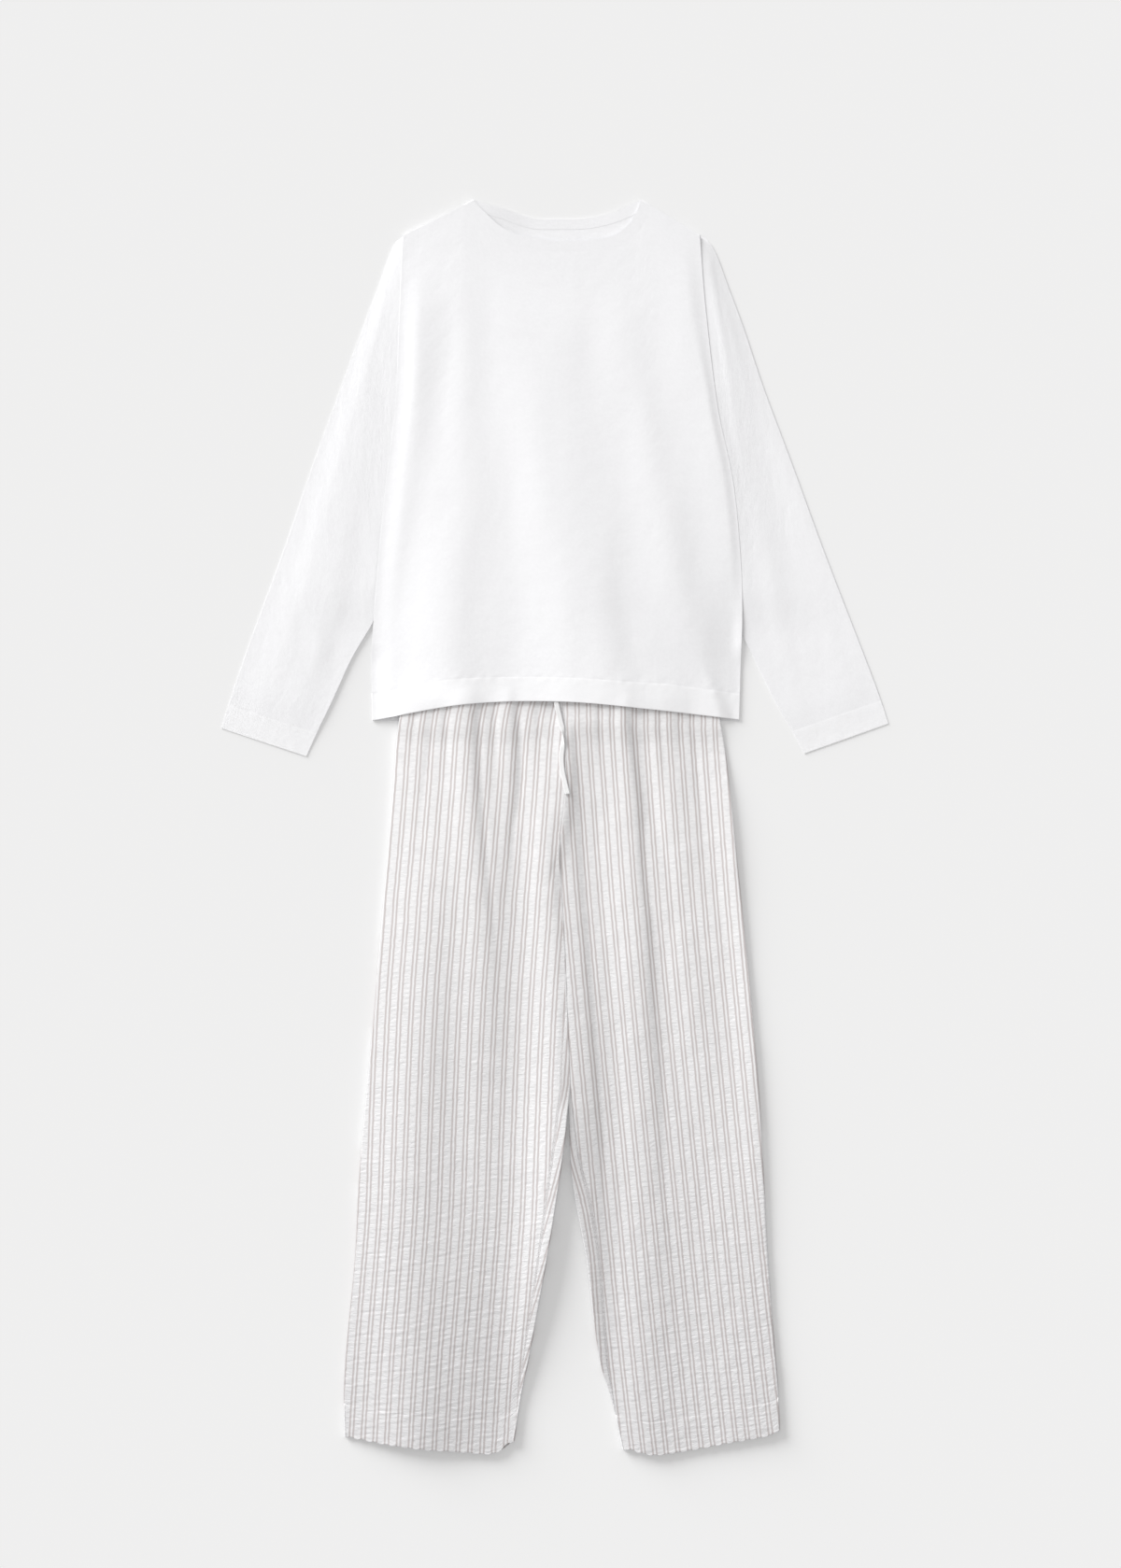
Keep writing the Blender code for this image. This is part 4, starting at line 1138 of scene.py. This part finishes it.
# %% Sleeves
def sleeve(name, rows, column, node, rises):
    """A sleeve from its armhole to its cuff. Rises are how high it lies at the body and below that."""
    sections = np.array(rows)
    middle = (sections[:, :2] + sections[:, 2:]) / 2.0
    along = running_sum(np.linalg.norm(np.diff(middle, axis=0), axis=1))
    table = np.column_stack([along, sections])
    run = along[-1]
    side = math.copysign(1.0, rows[0][0])
    down, turn = with_hem(run, CUFF_HEM, SLEEVE_ROW)
    share, is_upper = around_tube(FLAT_WIDTH, NEAR_FOLD, SLEEVE_UPPER, SLEEVE_LOWER)
    t, length = np.meshgrid(share, down)
    outer_x, outer_drop, inner_x, inner_drop = (read(table, k, length) for k in range(1, 5))
    width = np.hypot(inner_x - outer_x, inner_drop - outer_drop)
    inset = CUFF_RADIUS * (1.0 - np.cos(turn))[:, None]
    t = 0.5 + (t - 0.5) * (1.0 - 2.0 * inset / width)
    x = blend(outer_x, inner_x, t)
    drop = blend(outer_drop, inner_drop, t)

    from_edge = np.minimum(t, 1.0 - t) * width - inset
    outer_at = np.interp(drop, sections[:, 1], sections[:, 0])
    inner_at = body_edge(sections, column, drop)
    share_in = np.clip((outer_at - x) * side / np.maximum((outer_at - inner_at) * side, 1.0), 0.0, 1.0)
    top_z = upper_layer(x, drop, from_edge, share_in, rises)
    top_z = top_z + hem_relief(length, run, CUFF_HEM, CUFF_THICKNESS)
    top_z = blend(top_z, CUFF_EDGE, rise(length, run - CUFF_REACH, CUFF_REACH) * CUFF_FLATTENING)
    top_z = top_z - UNDER_BODY * rise((inner_at - x) * side, *SLIPS_UNDER) * (drop < LEAVES_BODY)
    layer_z = np.where(is_upper, top_z, FLOOR_CLEARANCE) + np.where(is_upper, -1.0, 1.0) * inset
    z = blend(SLEEVE_MIDDLE, layer_z, round_over(from_edge, SLEEVE_TURN))

    x = x - side * UNDER_FRONT[0] * is_upper * (1.0 - rise(length, 0.0, UNDER_FRONT[1]))
    ahead_x, ahead_drop = direction_at_end(table, run)
    past_end = CUFF_RADIUS * np.sin(turn)[:, None]
    y = SHOULDER_Y - (drop + ahead_drop * past_end)
    across = running_sum(np.abs(np.diff(share))) * FLAT_WIDTH
    flow = cloth_length(down, turn)
    doubled = doubled_below(flow, run, CUFF_HEM)
    mesh = lay_grid(name, x + ahead_x * past_end, y, z, across, flow[:, None], around=True, doubled=doubled)
    face_outwards(mesh)
    piece = finish_piece(name, mesh, jersey, [node], SLEEVE_SHELL)
    print("   ", round(float(run)), "mm from armhole to cuff")


sleeve("left_sleeve", SLEEVE_LEFT, 1, "sleeve_left", LEFT_RISES)
sleeve("right_sleeve", SLEEVE_RIGHT, 2, "sleeve_right", RIGHT_RISES)

# %% [markdown]
# ## The neckband
# The neckline is bound with a strip of the same jersey, folded double and 12 mm wide. Its front lies on its
# back and turns over at the shoulder points. A flat section with barely rounded corners is swept all round:
# along the front, over, along the back and over again.

# %% The neckband's section
BAND_THICKNESS = 0.9
BAND_CORNER = np.array([0.0, 0.004, 0.012, 0.04, 0.3])
BAND_END_HEIGHT = 0.97  # height of the section's corners, as a share


def band_section():
    """The band's cross-section: offset from the free edge, and height above its middle, all round."""
    across = np.concatenate([BAND_CORNER, [NECKBAND_WIDTH / 2.0], NECKBAND_WIDTH - BAND_CORNER[::-1]])
    offset = np.concatenate([[0.0], across, across[::-1], [0.0]])
    share = np.concatenate([[BAND_END_HEIGHT], np.ones(len(across) - 2), [BAND_END_HEIGHT]])
    up = share * BAND_THICKNESS / 2.0
    height = np.concatenate([[0.0], up, -up[::-1], [0.0]])
    return offset, height


# %% The neckband's route
BAND_STEPS = 90
TURN_STEPS = 8
RING = 0.0005

half_turn = np.linspace(0.0, math.pi, TURN_STEPS + 1)[1:-1]
stops = steps((0.0,), (RING, RING), (1.0 - RING, 1.0 / BAND_STEPS), (1.0, RING))
path = [(NECK_FRONT, s, 0.0) for s in stops]
path += [(NECK_FRONT, 1.0, turn) for turn in half_turn]
path += [(NECK_BACK, s, math.pi) for s in stops[::-1]]
path += [(NECK_FRONT, 0.0, turn) for turn in half_turn[::-1]]
path.append(path[0])

# %% Neckband
TURN_REACH = 0.1
BAND_CLEARANCE = 0.1
TOP_LEVEL = LEVEL_NECK + JERSEY - BAND_THICKNESS / 2.0 + BAND_CLEARANCE
LOW_LEVEL = FLOOR_CLEARANCE + BAND_THICKNESS / 2.0

offset, height = band_section()
sections = []
for points, s, turn in path:
    x, drop = neck_edge(points, np.full(len(offset), s), offset)
    slope_x, slope_drop = (float(part) for part in shoulder_slope(s))
    reach = (TURN_REACH + height) * math.sin(turn)
    lower = LOW_LEVEL + neck_lift(x, drop)
    z = (TOP_LEVEL + lower) / 2.0 + (TOP_LEVEL - lower) / 2.0 * math.cos(turn) + height * math.cos(turn)
    sections.append((x + math.copysign(slope_drop, slope_x) * reach, drop - abs(slope_x) * reach, z))
x, drop, z = np.array(sections).transpose(1, 0, 2)
walk = running_sum(np.hypot(np.diff(x[:, 0]), np.diff(drop[:, 0])))
across = running_sum(np.hypot(np.diff(offset), np.diff(height)))
mesh = lay_grid("neck_rib", x, SHOULDER_Y - drop, z, walk[:, None], across, around=True)
face_outwards(mesh)
neck_rib = finish_piece("neck_rib", mesh, rib, ["neckband"])
print("neckband", round(float(walk[-1])), "mm round")

# %% [markdown]
# ## The waist
# The trousers' waist is a casing with elastic in it. The top covers it here. It is a flat ring of two
# layers, drawn up into small upright gathers.

# %% Waist casing
GATHERS = (0.35, 6.5)  # height and pitch
GATHER_DRIFT = (0.3, 17.0)  # how far, in pitches, and over what length the gathers drift
CASING_TURN = 2.0
CASING_NARROWS = 4.0  # how much narrower the casing is at its upper edge, on each side
CASING_LEVEL = JERSEY + SEAM
CASING_WALL = 1.2
CASING_COLUMNS = (4.0, 140)  # margin and columns of each layer
CASING_ROWS = 25
CASING_INSET = 0.5  # of the upper layer, below the solid's top
SOFT_GATHERS = 6.0
BELLY_POWER = 0.4  # below 1, the gathers are full over most of the casing's height
NEAR_END = np.array([0.0, 0.03, 0.12, 0.3, 0.6, 1.0, 1.6, 2.4])

waist_left, waist_right = LEGS[0][1], LEGS[0][4]
span = waist_right - waist_left
t, is_upper = around_tube(span, NEAR_END, CASING_COLUMNS, CASING_COLUMNS)
across = running_sum(np.abs(np.diff(t))) * span
down = np.linspace(0.0, WAISTBAND_WIDTH - SEAM, CASING_ROWS)[:, None]
narrow = CASING_NARROWS * (1.0 - down / down[-1])
x = blend(waist_left + narrow, waist_right - narrow, t)
from_end = np.minimum(t, 1.0 - t) * span
drift = GATHER_DRIFT[0] * np.sin(x / GATHER_DRIFT[1])
gathers = GATHERS[0] * np.sin(2.0 * math.pi * (x / GATHERS[1] + drift)) * ease(from_end / SOFT_GATHERS)
belly = np.sin(math.pi * np.clip(down / down[-1], 0.0, 1.0)) ** BELLY_POWER
upper_z = CASING_LEVEL + 2.0 * CASING + SEAM - CASING_INSET + gathers * belly
layer_z = np.where(is_upper, upper_z, CASING_LEVEL + FLOOR_CLEARANCE)
z = blend(CASING_LEVEL + CASING, layer_z, round_over(from_end, CASING_TURN))
mesh = lay_grid("waist_casing", x, WAIST_Y - down, z, across, down, around=True)
face_outwards(mesh)
waist_casing = finish_piece(
    "waist_casing", mesh, striped, ["waistband"], CASING_WALL
)

# %% [markdown]
# ## The trouser legs
# Each leg is a front and a back panel. The front carries the look: it rolls down at its sides, its
# pinstripes follow the cloth over every fold, and the slack stretches between them pucker. The stripe
# coordinate is measured along the surface, so that stripes crowd together on a steep flank as real ones do.
# Near the inseam the back panel wraps round to the front, and there the stripes run along the edge instead.
# Below the fork the left leg is laid over the right one for a while, before the two part.

# %% Tables of the legs
LEG_HEM = 38.0
HEM_LEFT = ((-247.5, 947.0), (-181.5, 958.0), (-100.0, 965.5), (-65.0, 966.0), (-47.3, 953.0))
HEM_RIGHT = ((79.2, 961.5), (104.0, 968.0), (126.0, 967.5), (205.0, 953.7), (248.0, 946.0), (265.0, 938.5))
# Where a known pair of pinstripes runs: drop, x.
PAIR_LEFT = (
    (114.0, -187.0), (158.0, -190.3), (246.0, -198.0), (334.0, -202.4), (422.0, -209.0), (510.0, -213.4),
    (598.0, -216.7), (686.0, -220.0), (774.0, -226.6), (840.0, -232.1), (906.0, -236.5), (965.0, -240.0),
)
PAIR_RIGHT = (
    (114.0, 161.0), (158.0, 163.9), (334.0, 177.1), (510.0, 193.6), (686.0, 211.2), (774.0, 220.0),
    (906.0, 234.3), (965.0, 241.0),
)
# How wide the back panel shows along the inseam: drop, width.
WRAP_LEFT = (
    (290.0, 1.5), (440.0, 2.5), (520.0, 12.0), (640.0, 15.0), (760.0, 12.0), (860.0, 8.0), (930.0, 2.0),
    (957.0, 1.5),
)
WRAP_RIGHT = (
    (290.0, 1.5), (500.0, 1.5), (540.0, 3.0), (609.0, 10.0), (671.0, 19.0), (774.0, 15.5), (840.0, 12.0),
    (892.0, 4.5), (915.0, 1.5), (957.0, 1.5),
)
PITCH_LEFT = 14.0
PITCH_RIGHT = 13.6
LEG_RUN = LEG_END - LEG_START
SKEW_FROM = 0.6  # share of the leg's length below which its rows slant to meet the hem


def skewed(hem, edge_x, nominal):
    """Drop of points of the leg, slanted towards the hem's own outline at its end."""
    skew = read(hem, 1, edge_x) - LEG_END
    return nominal + skew * rise(nominal, LEG_START + SKEW_FROM * LEG_RUN, (1.0 - SKEW_FROM) * LEG_RUN)


# %% The grid of a leg's front
LEG_ROW = 1.62
HIDDEN = (56.0, 6.0)  # under the top: end and pitch of the wide rows
NEAR_OUTER = np.array([0.0, 0.02, 0.07, 0.16, 0.3, 0.6, 1.3, 3.0])
LEG_COLUMNS = 66
WRAP_COLUMNS = 9
WRAP_BUNCHING = 2.4  # above 1, columns crowd towards the inseam
LEG_TOUCH = 0.05
OVERLAP = 3.0
OVERLAP_BEGINS = (-50.0, 60.0)  # from the fork
OVERLAP_ENDS = (530.0, 45.0)


def leg_grid(leg, hem, wrap):
    """Where the points of a leg's front lie, seen from above, as named arrays."""
    outer, inner = leg[:2]
    grid = SimpleNamespace(leg=leg, side=1.0 if outer < inner else -1.0)
    down, turn = with_hem(LEG_RUN, LEG_HEM, LEG_ROW)
    hidden = steps((0.0,), HIDDEN)
    shown = down > HIDDEN[0] + 2.0
    grid.down = np.concatenate([hidden, down[shown]])[:, None]
    grid.turn = np.concatenate([np.zeros(len(hidden)), turn[shown]])[:, None]
    grid.nominal = grid.down + LEG_START
    begun = rise(grid.nominal, FORK_DROP + OVERLAP_BEGINS[0], OVERLAP_BEGINS[1])
    grid.overlapped = begun * (1.0 - rise(grid.nominal, *OVERLAP_ENDS))
    outer_x = read(LEGS, outer, grid.nominal)
    on_other = OVERLAP * max(grid.side, 0.0) * grid.overlapped
    inner_x = read(LEGS, inner, grid.nominal) - grid.side * LEG_TOUCH + on_other
    grid.width = np.abs(inner_x - outer_x)
    grid.strip = read(wrap, 1, grid.nominal)
    main = np.linspace(0.0, 1.0, LEG_COLUMNS + 1)[1:]
    bunched = 1.0 - (1.0 - np.linspace(0.0, 1.0, WRAP_COLUMNS + 1)[1:]) ** WRAP_BUNCHING
    grid.from_outer = np.concatenate([
        np.broadcast_to(NEAR_OUTER, (len(grid.down), len(NEAR_OUTER))),
        blend(NEAR_OUTER[-1], grid.width - grid.strip, main),
        blend(grid.width - grid.strip, grid.width, bunched),
    ], axis=1)
    grid.from_inner = grid.width - grid.from_outer
    grid.x = outer_x + grid.side * grid.from_outer
    edge_x = outer_x[-1] + grid.side * grid.from_outer / grid.width * grid.width[-1]
    grid.drop = skewed(hem, edge_x, grid.nominal)
    return grid


# %% The legs' folds, and the left leg over the right one
LAID_OVER = 12.0
CLEAR_OF_LEG = 0.3
MOST_LIFT_DOWN = 2.5
DIP_UNDER = 0.3
DIP_ENDS = (0.2, 1.2)  # start and length, from where the left leg's edge lies
LEG_HEM_THICKNESS = 0.12


def leg_level(grid):
    """A leg's outer surface without its crinkle. The left leg ends above the right one, which dips."""
    nominal = np.broadcast_to(grid.nominal, grid.x.shape)
    z = trouser_front_height(grid.leg, grid.x, nominal)
    z = z + hem_relief(grid.down, LEG_RUN, LEG_HEM, LEG_HEM_THICKNESS)
    if grid.side > 0.0:
        other = trouser_front_height(RIGHT_LEG, grid.x, nominal) + CLEAR_OF_LEG
        near = grid.overlapped * (1.0 - ease(grid.from_inner / LAID_OVER))
        return blend(z, np.maximum(other, z - MOST_LIFT_DOWN), near)
    return z - DIP_UNDER * grid.overlapped * (1.0 - rise(grid.from_inner, OVERLAP + DIP_ENDS[0], DIP_ENDS[1]))


# %% Where the stripes run
PAIRS_FROM_EDGE = 20  # repeats between the cloth coordinate's zero and the known pair
STRIP_STARTS = (130.0, 4.0)  # coordinate along the left and along the right inseam
STRIP_LEAN = 0.12  # how much the left leg's wrapped stripes slant


def stripe_coordinate(grid, z, pairs, pitch):
    """How far across the cloth each point is, measured along the surface from a known pair of stripes."""
    pieces = np.hypot(np.diff(grid.x, axis=1), np.diff(z, axis=1))
    across = np.concatenate([np.zeros((len(z), 1)), np.cumsum(pieces, axis=1)], axis=1) * grid.side
    known = read(pairs, 1, grid.nominal[:, 0])
    order = slice(None, None, int(grid.side))
    for row in range(len(z)):
        across[row] -= np.interp(known[row], grid.x[row][order], across[row][order])
    across = across * STRIPE_REPEAT / pitch + PAIRS_FROM_EDGE * STRIPE_REPEAT
    if grid.side > 0.0:
        in_strip = grid.from_inner - STRIP_LEAN * grid.nominal + STRIP_STARTS[0]
    else:
        in_strip = grid.strip - grid.from_inner + STRIP_STARTS[1]
    wrapped = grid.from_outer > grid.width - grid.strip + 0.01
    return np.where(wrapped, in_strip, across)


# %% Crinkle and small creases
PUCKER_HEIGHT = (0.08, 0.22)  # near the waist and near the hem
PUCKER_GROWS = (500.0, 400.0)
PUCKER_BEGINS = (70.0, 60.0)
PUCKER_LENGTH = (4.6, 19.0)  # down and across
CREST = (0.16, 46.0, 6.5, 60.0)  # height, and lengths of the slanting little creases low on the legs
CREST_BENDS = (0.25, 21.0)
CREST_GROWS = (430.0, 420.0)
LEG_RUMPLE = (0.12, 34.0, 46.0)
RUMPLE_BEGINS = (90.0, 60.0)
STRIPES_COUNTED = 400
STRIPE_SHIFT = 40.0  # most that one stretch's puckers are shifted along it


def crinkle(grid, across, seed):
    """Puckers between the stripes, each stretch of its own, and slanting creases over all of them."""
    x, drop, nominal = grid.x, grid.drop, grid.nominal
    slack = (1.0 - np.cos(2.0 * math.pi * across / STRIPE_REPEAT)) / 2.0
    random = np.random.RandomState(seed)
    number = np.clip(np.floor(across / STRIPE_REPEAT).astype(int), 0, STRIPES_COUNTED - 1)
    offset = random.uniform(0.0, STRIPE_SHIFT, STRIPES_COUNTED)[number]
    pucker = waves((drop + offset) / PUCKER_LENGTH[0], across / PUCKER_LENGTH[1] + offset, seed, 7)
    amount = blend(*PUCKER_HEIGHT, rise(nominal, *PUCKER_GROWS)) * rise(nominal, *PUCKER_BEGINS)
    height, bend_length, down_length, across_length = CREST
    bends = CREST_BENDS[0] * np.sin(x / CREST_BENDS[1])
    crest = waves(x / bend_length + drop / down_length + bends, x / across_length, seed + 9, 5)
    soft = rumple((*LEG_RUMPLE, seed + 5), x, drop) * rise(nominal, *RUMPLE_BEGINS)
    return amount * slack * pucker + height * crest * rise(nominal, *CREST_GROWS) + soft


# %% Sides and hem of a leg's front
LIT_TURN = 0.3
SHADED_TURN = 1.0
EDGE_LEVEL = 0.75
EDGE_DIP = 0.3  # the inseam's height below the cloth where the legs still touch
SEAM_GROOVE = (0.35, 1.2, 3.0)  # depth, width, and the narrowest wrapped strip that has it
GROOVE_BEGINS = (-40.0, 50.0)  # from the fork
TURNED_INSET = 0.4
SCALLOP = 0.9  # how far the hem waves in and out between the stripes
SCALLOP_REACH = 10.0
HEM_SOFT_ENDS = 4.0


def roll_sides(grid, z):
    """Rolls the leg's two sides down, and presses a groove along the seam of the wrapped strip."""
    outer_turn, inner_turn = (LIT_TURN, SHADED_TURN)[::int(grid.side)]
    z = blend(EDGE_LEVEL, z, round_over(grid.from_outer, outer_turn))
    inner_level = blend(grid.inner_z - EDGE_DIP, EDGE_LEVEL, rise(grid.nominal, *OVERLAP_ENDS))
    z = blend(np.minimum(inner_level, z), z, round_over(grid.from_inner, inner_turn))
    depth, width, narrowest = SEAM_GROOVE
    pressed = rise(grid.nominal, FORK_DROP + GROOVE_BEGINS[0], GROOVE_BEGINS[1]) * (grid.strip > narrowest)
    return z - depth * bell(np.abs(grid.from_outer - (grid.width - grid.strip)), width) * pressed


def turn_hem(grid, z, across):
    """Places of the leg's front with its hem turned under, a little narrower than the leg."""
    at_edge = rise(grid.down, LEG_RUN - SCALLOP_REACH, SCALLOP_REACH)
    scallop = -SCALLOP * np.cos(2.0 * math.pi * across / STRIPE_REPEAT)
    back = 1.0 - np.cos(grid.turn)
    x = grid.x + grid.side * TURNED_INSET * (1.0 - 2.0 * grid.from_outer / grid.width) * back / 2.0
    drop = grid.drop + at_edge * scallop + HEM_RADIUS * np.sin(grid.turn)
    ends = (np.clip(distance / HEM_SOFT_ENDS, 0.0, 1.0) for distance in (grid.from_outer, grid.from_inner))
    z = z - HEM_RADIUS * back * next(ends) * next(ends)
    return x, drop, np.maximum(z, EDGE_LEVEL)


# %% Fronts of the legs
def leg_front(name, node, leg, hem, pairs, pitch, wrap, seed):
    """The front of one leg."""
    grid = leg_grid(leg, hem, wrap)
    z = leg_level(grid)
    across = stripe_coordinate(grid, z, pairs, pitch)
    z = z + crinkle(grid, across, seed)
    grid.inner_z = z
    x, drop, z = turn_hem(grid, roll_sides(grid, z), across)
    flow = cloth_length(grid.down[:, 0], grid.turn[:, 0])[:, None]
    return lay_leg(name, node, grid.side, (x, WAIST_Y - drop, z, across, flow), SHELL)


def lay_leg(name, node, side, arrays, thickness):
    """A leg's panel. A right leg's columns run from its right side, so they are put in order first."""
    arrays = [values[:, ::int(side)] for values in np.broadcast_arrays(*arrays)]
    return finish_piece(name, lay_grid(name, *arrays), striped, [node], thickness)


left_leg_front = leg_front(
    "left_leg_front", "trouser_front_left", LEFT_LEG, HEM_LEFT, PAIR_LEFT, PITCH_LEFT, WRAP_LEFT, 21
)
right_leg_front = leg_front(
    "right_leg_front", "trouser_front_right", RIGHT_LEG, HEM_RIGHT, PAIR_RIGHT, PITCH_RIGHT, WRAP_RIGHT, 37
)

# %% Backs of the legs
BACK_INSET = (1.3, 0.75)  # from the front's outer and inner edge
LEG_WIDTH = 230.0
LEG_BACK_ROW = 5.5
LEG_BACK_COLUMN = 0.023  # share of the width
BACK_SHARE = EDGE_ROW / LEG_WIDTH
LEG_BACK_LEVEL = 0.95
LEG_BACK_WALL = 0.8


def leg_back(name, node, outer, inner, hem):
    """The back of one leg, flat on the floor, a little inside the front's rolled edges."""
    side = 1.0 if outer < inner else -1.0
    down = steps((0.0,), (LEG_RUN - 1.1, LEG_BACK_ROW), (LEG_RUN - 1.0, EDGE_ROW))
    nominal = (down + LEG_START)[:, None]
    share = steps((0.0,), (BACK_SHARE, BACK_SHARE), (1.0 - BACK_SHARE, LEG_BACK_COLUMN), (1.0, BACK_SHARE))
    outer_x = read(LEGS, outer, nominal) + side * BACK_INSET[0]
    inner_x = read(LEGS, inner, nominal) - side * BACK_INSET[1]
    x = blend(outer_x, inner_x, share)
    drop = skewed(hem, blend(read(LEGS, outer, LEG_END), read(LEGS, inner, LEG_END), share), nominal)
    z = trouser_back_level(nominal) + LEG_BACK_LEVEL
    piece = lay_leg(name, node, side, (x, WAIST_Y - drop, z, x + CLOTH_START, nominal), LEG_BACK_WALL)


leg_back("left_leg_back", "trouser_back_left", 1, 2, HEM_LEFT)
leg_back("right_leg_back", "trouser_back_right", 4, 3, HEM_RIGHT)

# %% [markdown]
# ## Floor and light
# The set lies on a plain pale floor. One broad, soft light comes low from the upper left, so that every
# fold has a bright flank and a grey one. The rest comes evenly from all round. The floor also glows a
# little: that makes it nearly as pale as the cloth without more light on the cloth itself.

# %% Floor
FLOOR_SIZE = 4.0
BELOW_CLOTH = 0.0003
FLOOR_COLOUR = 0.62
FLOOR_GLOW = 0.195
bm = bmesh.new()
bmesh.ops.create_grid(bm, x_segments=1, y_segments=1, size=FLOOR_SIZE)
floor_mesh = bpy.data.meshes.new("floor")
bm.to_mesh(floor_mesh)
bm.free()
floor_mesh.transform(Matrix.Translation((0.0, 0.0, -BELOW_CLOTH)))
floor = bpy.data.objects.new("floor", floor_mesh)
bpy.context.scene.collection.objects.link(floor)
floor_material = bpy.data.materials.new("pale_floor")
floor_material.use_nodes = True
floor_shader = floor_material.node_tree.nodes["Principled BSDF"]
floor_shader.inputs["Base Color"].default_value = (FLOOR_COLOUR, FLOOR_COLOUR, FLOOR_COLOUR, 1.0)
floor_shader.inputs["Emission Color"].default_value = (1.0, 1.0, 1.0, 1.0)
floor_shader.inputs["Emission Strength"].default_value = FLOOR_GLOW
floor_shader.inputs["Roughness"].default_value = 1.0
floor_shader.inputs["Specular IOR Level"].default_value = 0.0
floor_mesh.materials.append(floor_material)

# %% Light
LIGHT_ON_FLOOR = 1.079
SUN_SHARE = 0.42
SUN_ELEVATION = math.radians(15.5)
SUN_TURN = math.radians(45.0)
SUN_SPREAD = math.radians(34.0)
SUN_COLOUR = (0.995, 1.0, 1.003)
ROUND_COLOUR = (1.01, 1.0, 0.995, 1.0)
sun_data = bpy.data.lights.new("soft_light", "SUN")
sun_data.energy = LIGHT_ON_FLOOR * SUN_SHARE * math.pi / math.sin(SUN_ELEVATION)
sun_data.angle = SUN_SPREAD
sun_data.color = SUN_COLOUR
sun = bpy.data.objects.new("soft_light", sun_data)
level = math.cos(SUN_ELEVATION)
towards = Vector((-level * math.cos(SUN_TURN), level * math.sin(SUN_TURN), math.sin(SUN_ELEVATION)))
sun.rotation_euler = towards.to_track_quat("Z", "Y").to_euler()
bpy.context.scene.collection.objects.link(sun)
world = bpy.data.worlds.new("even_light")
world.use_nodes = True
background = world.node_tree.nodes["Background"]
background.inputs["Color"].default_value = ROUND_COLOUR
background.inputs["Strength"].default_value = LIGHT_ON_FLOOR * (1.0 - SUN_SHARE)
bpy.context.scene.world = world
bpy.context.scene.view_settings.view_transform = "Standard"
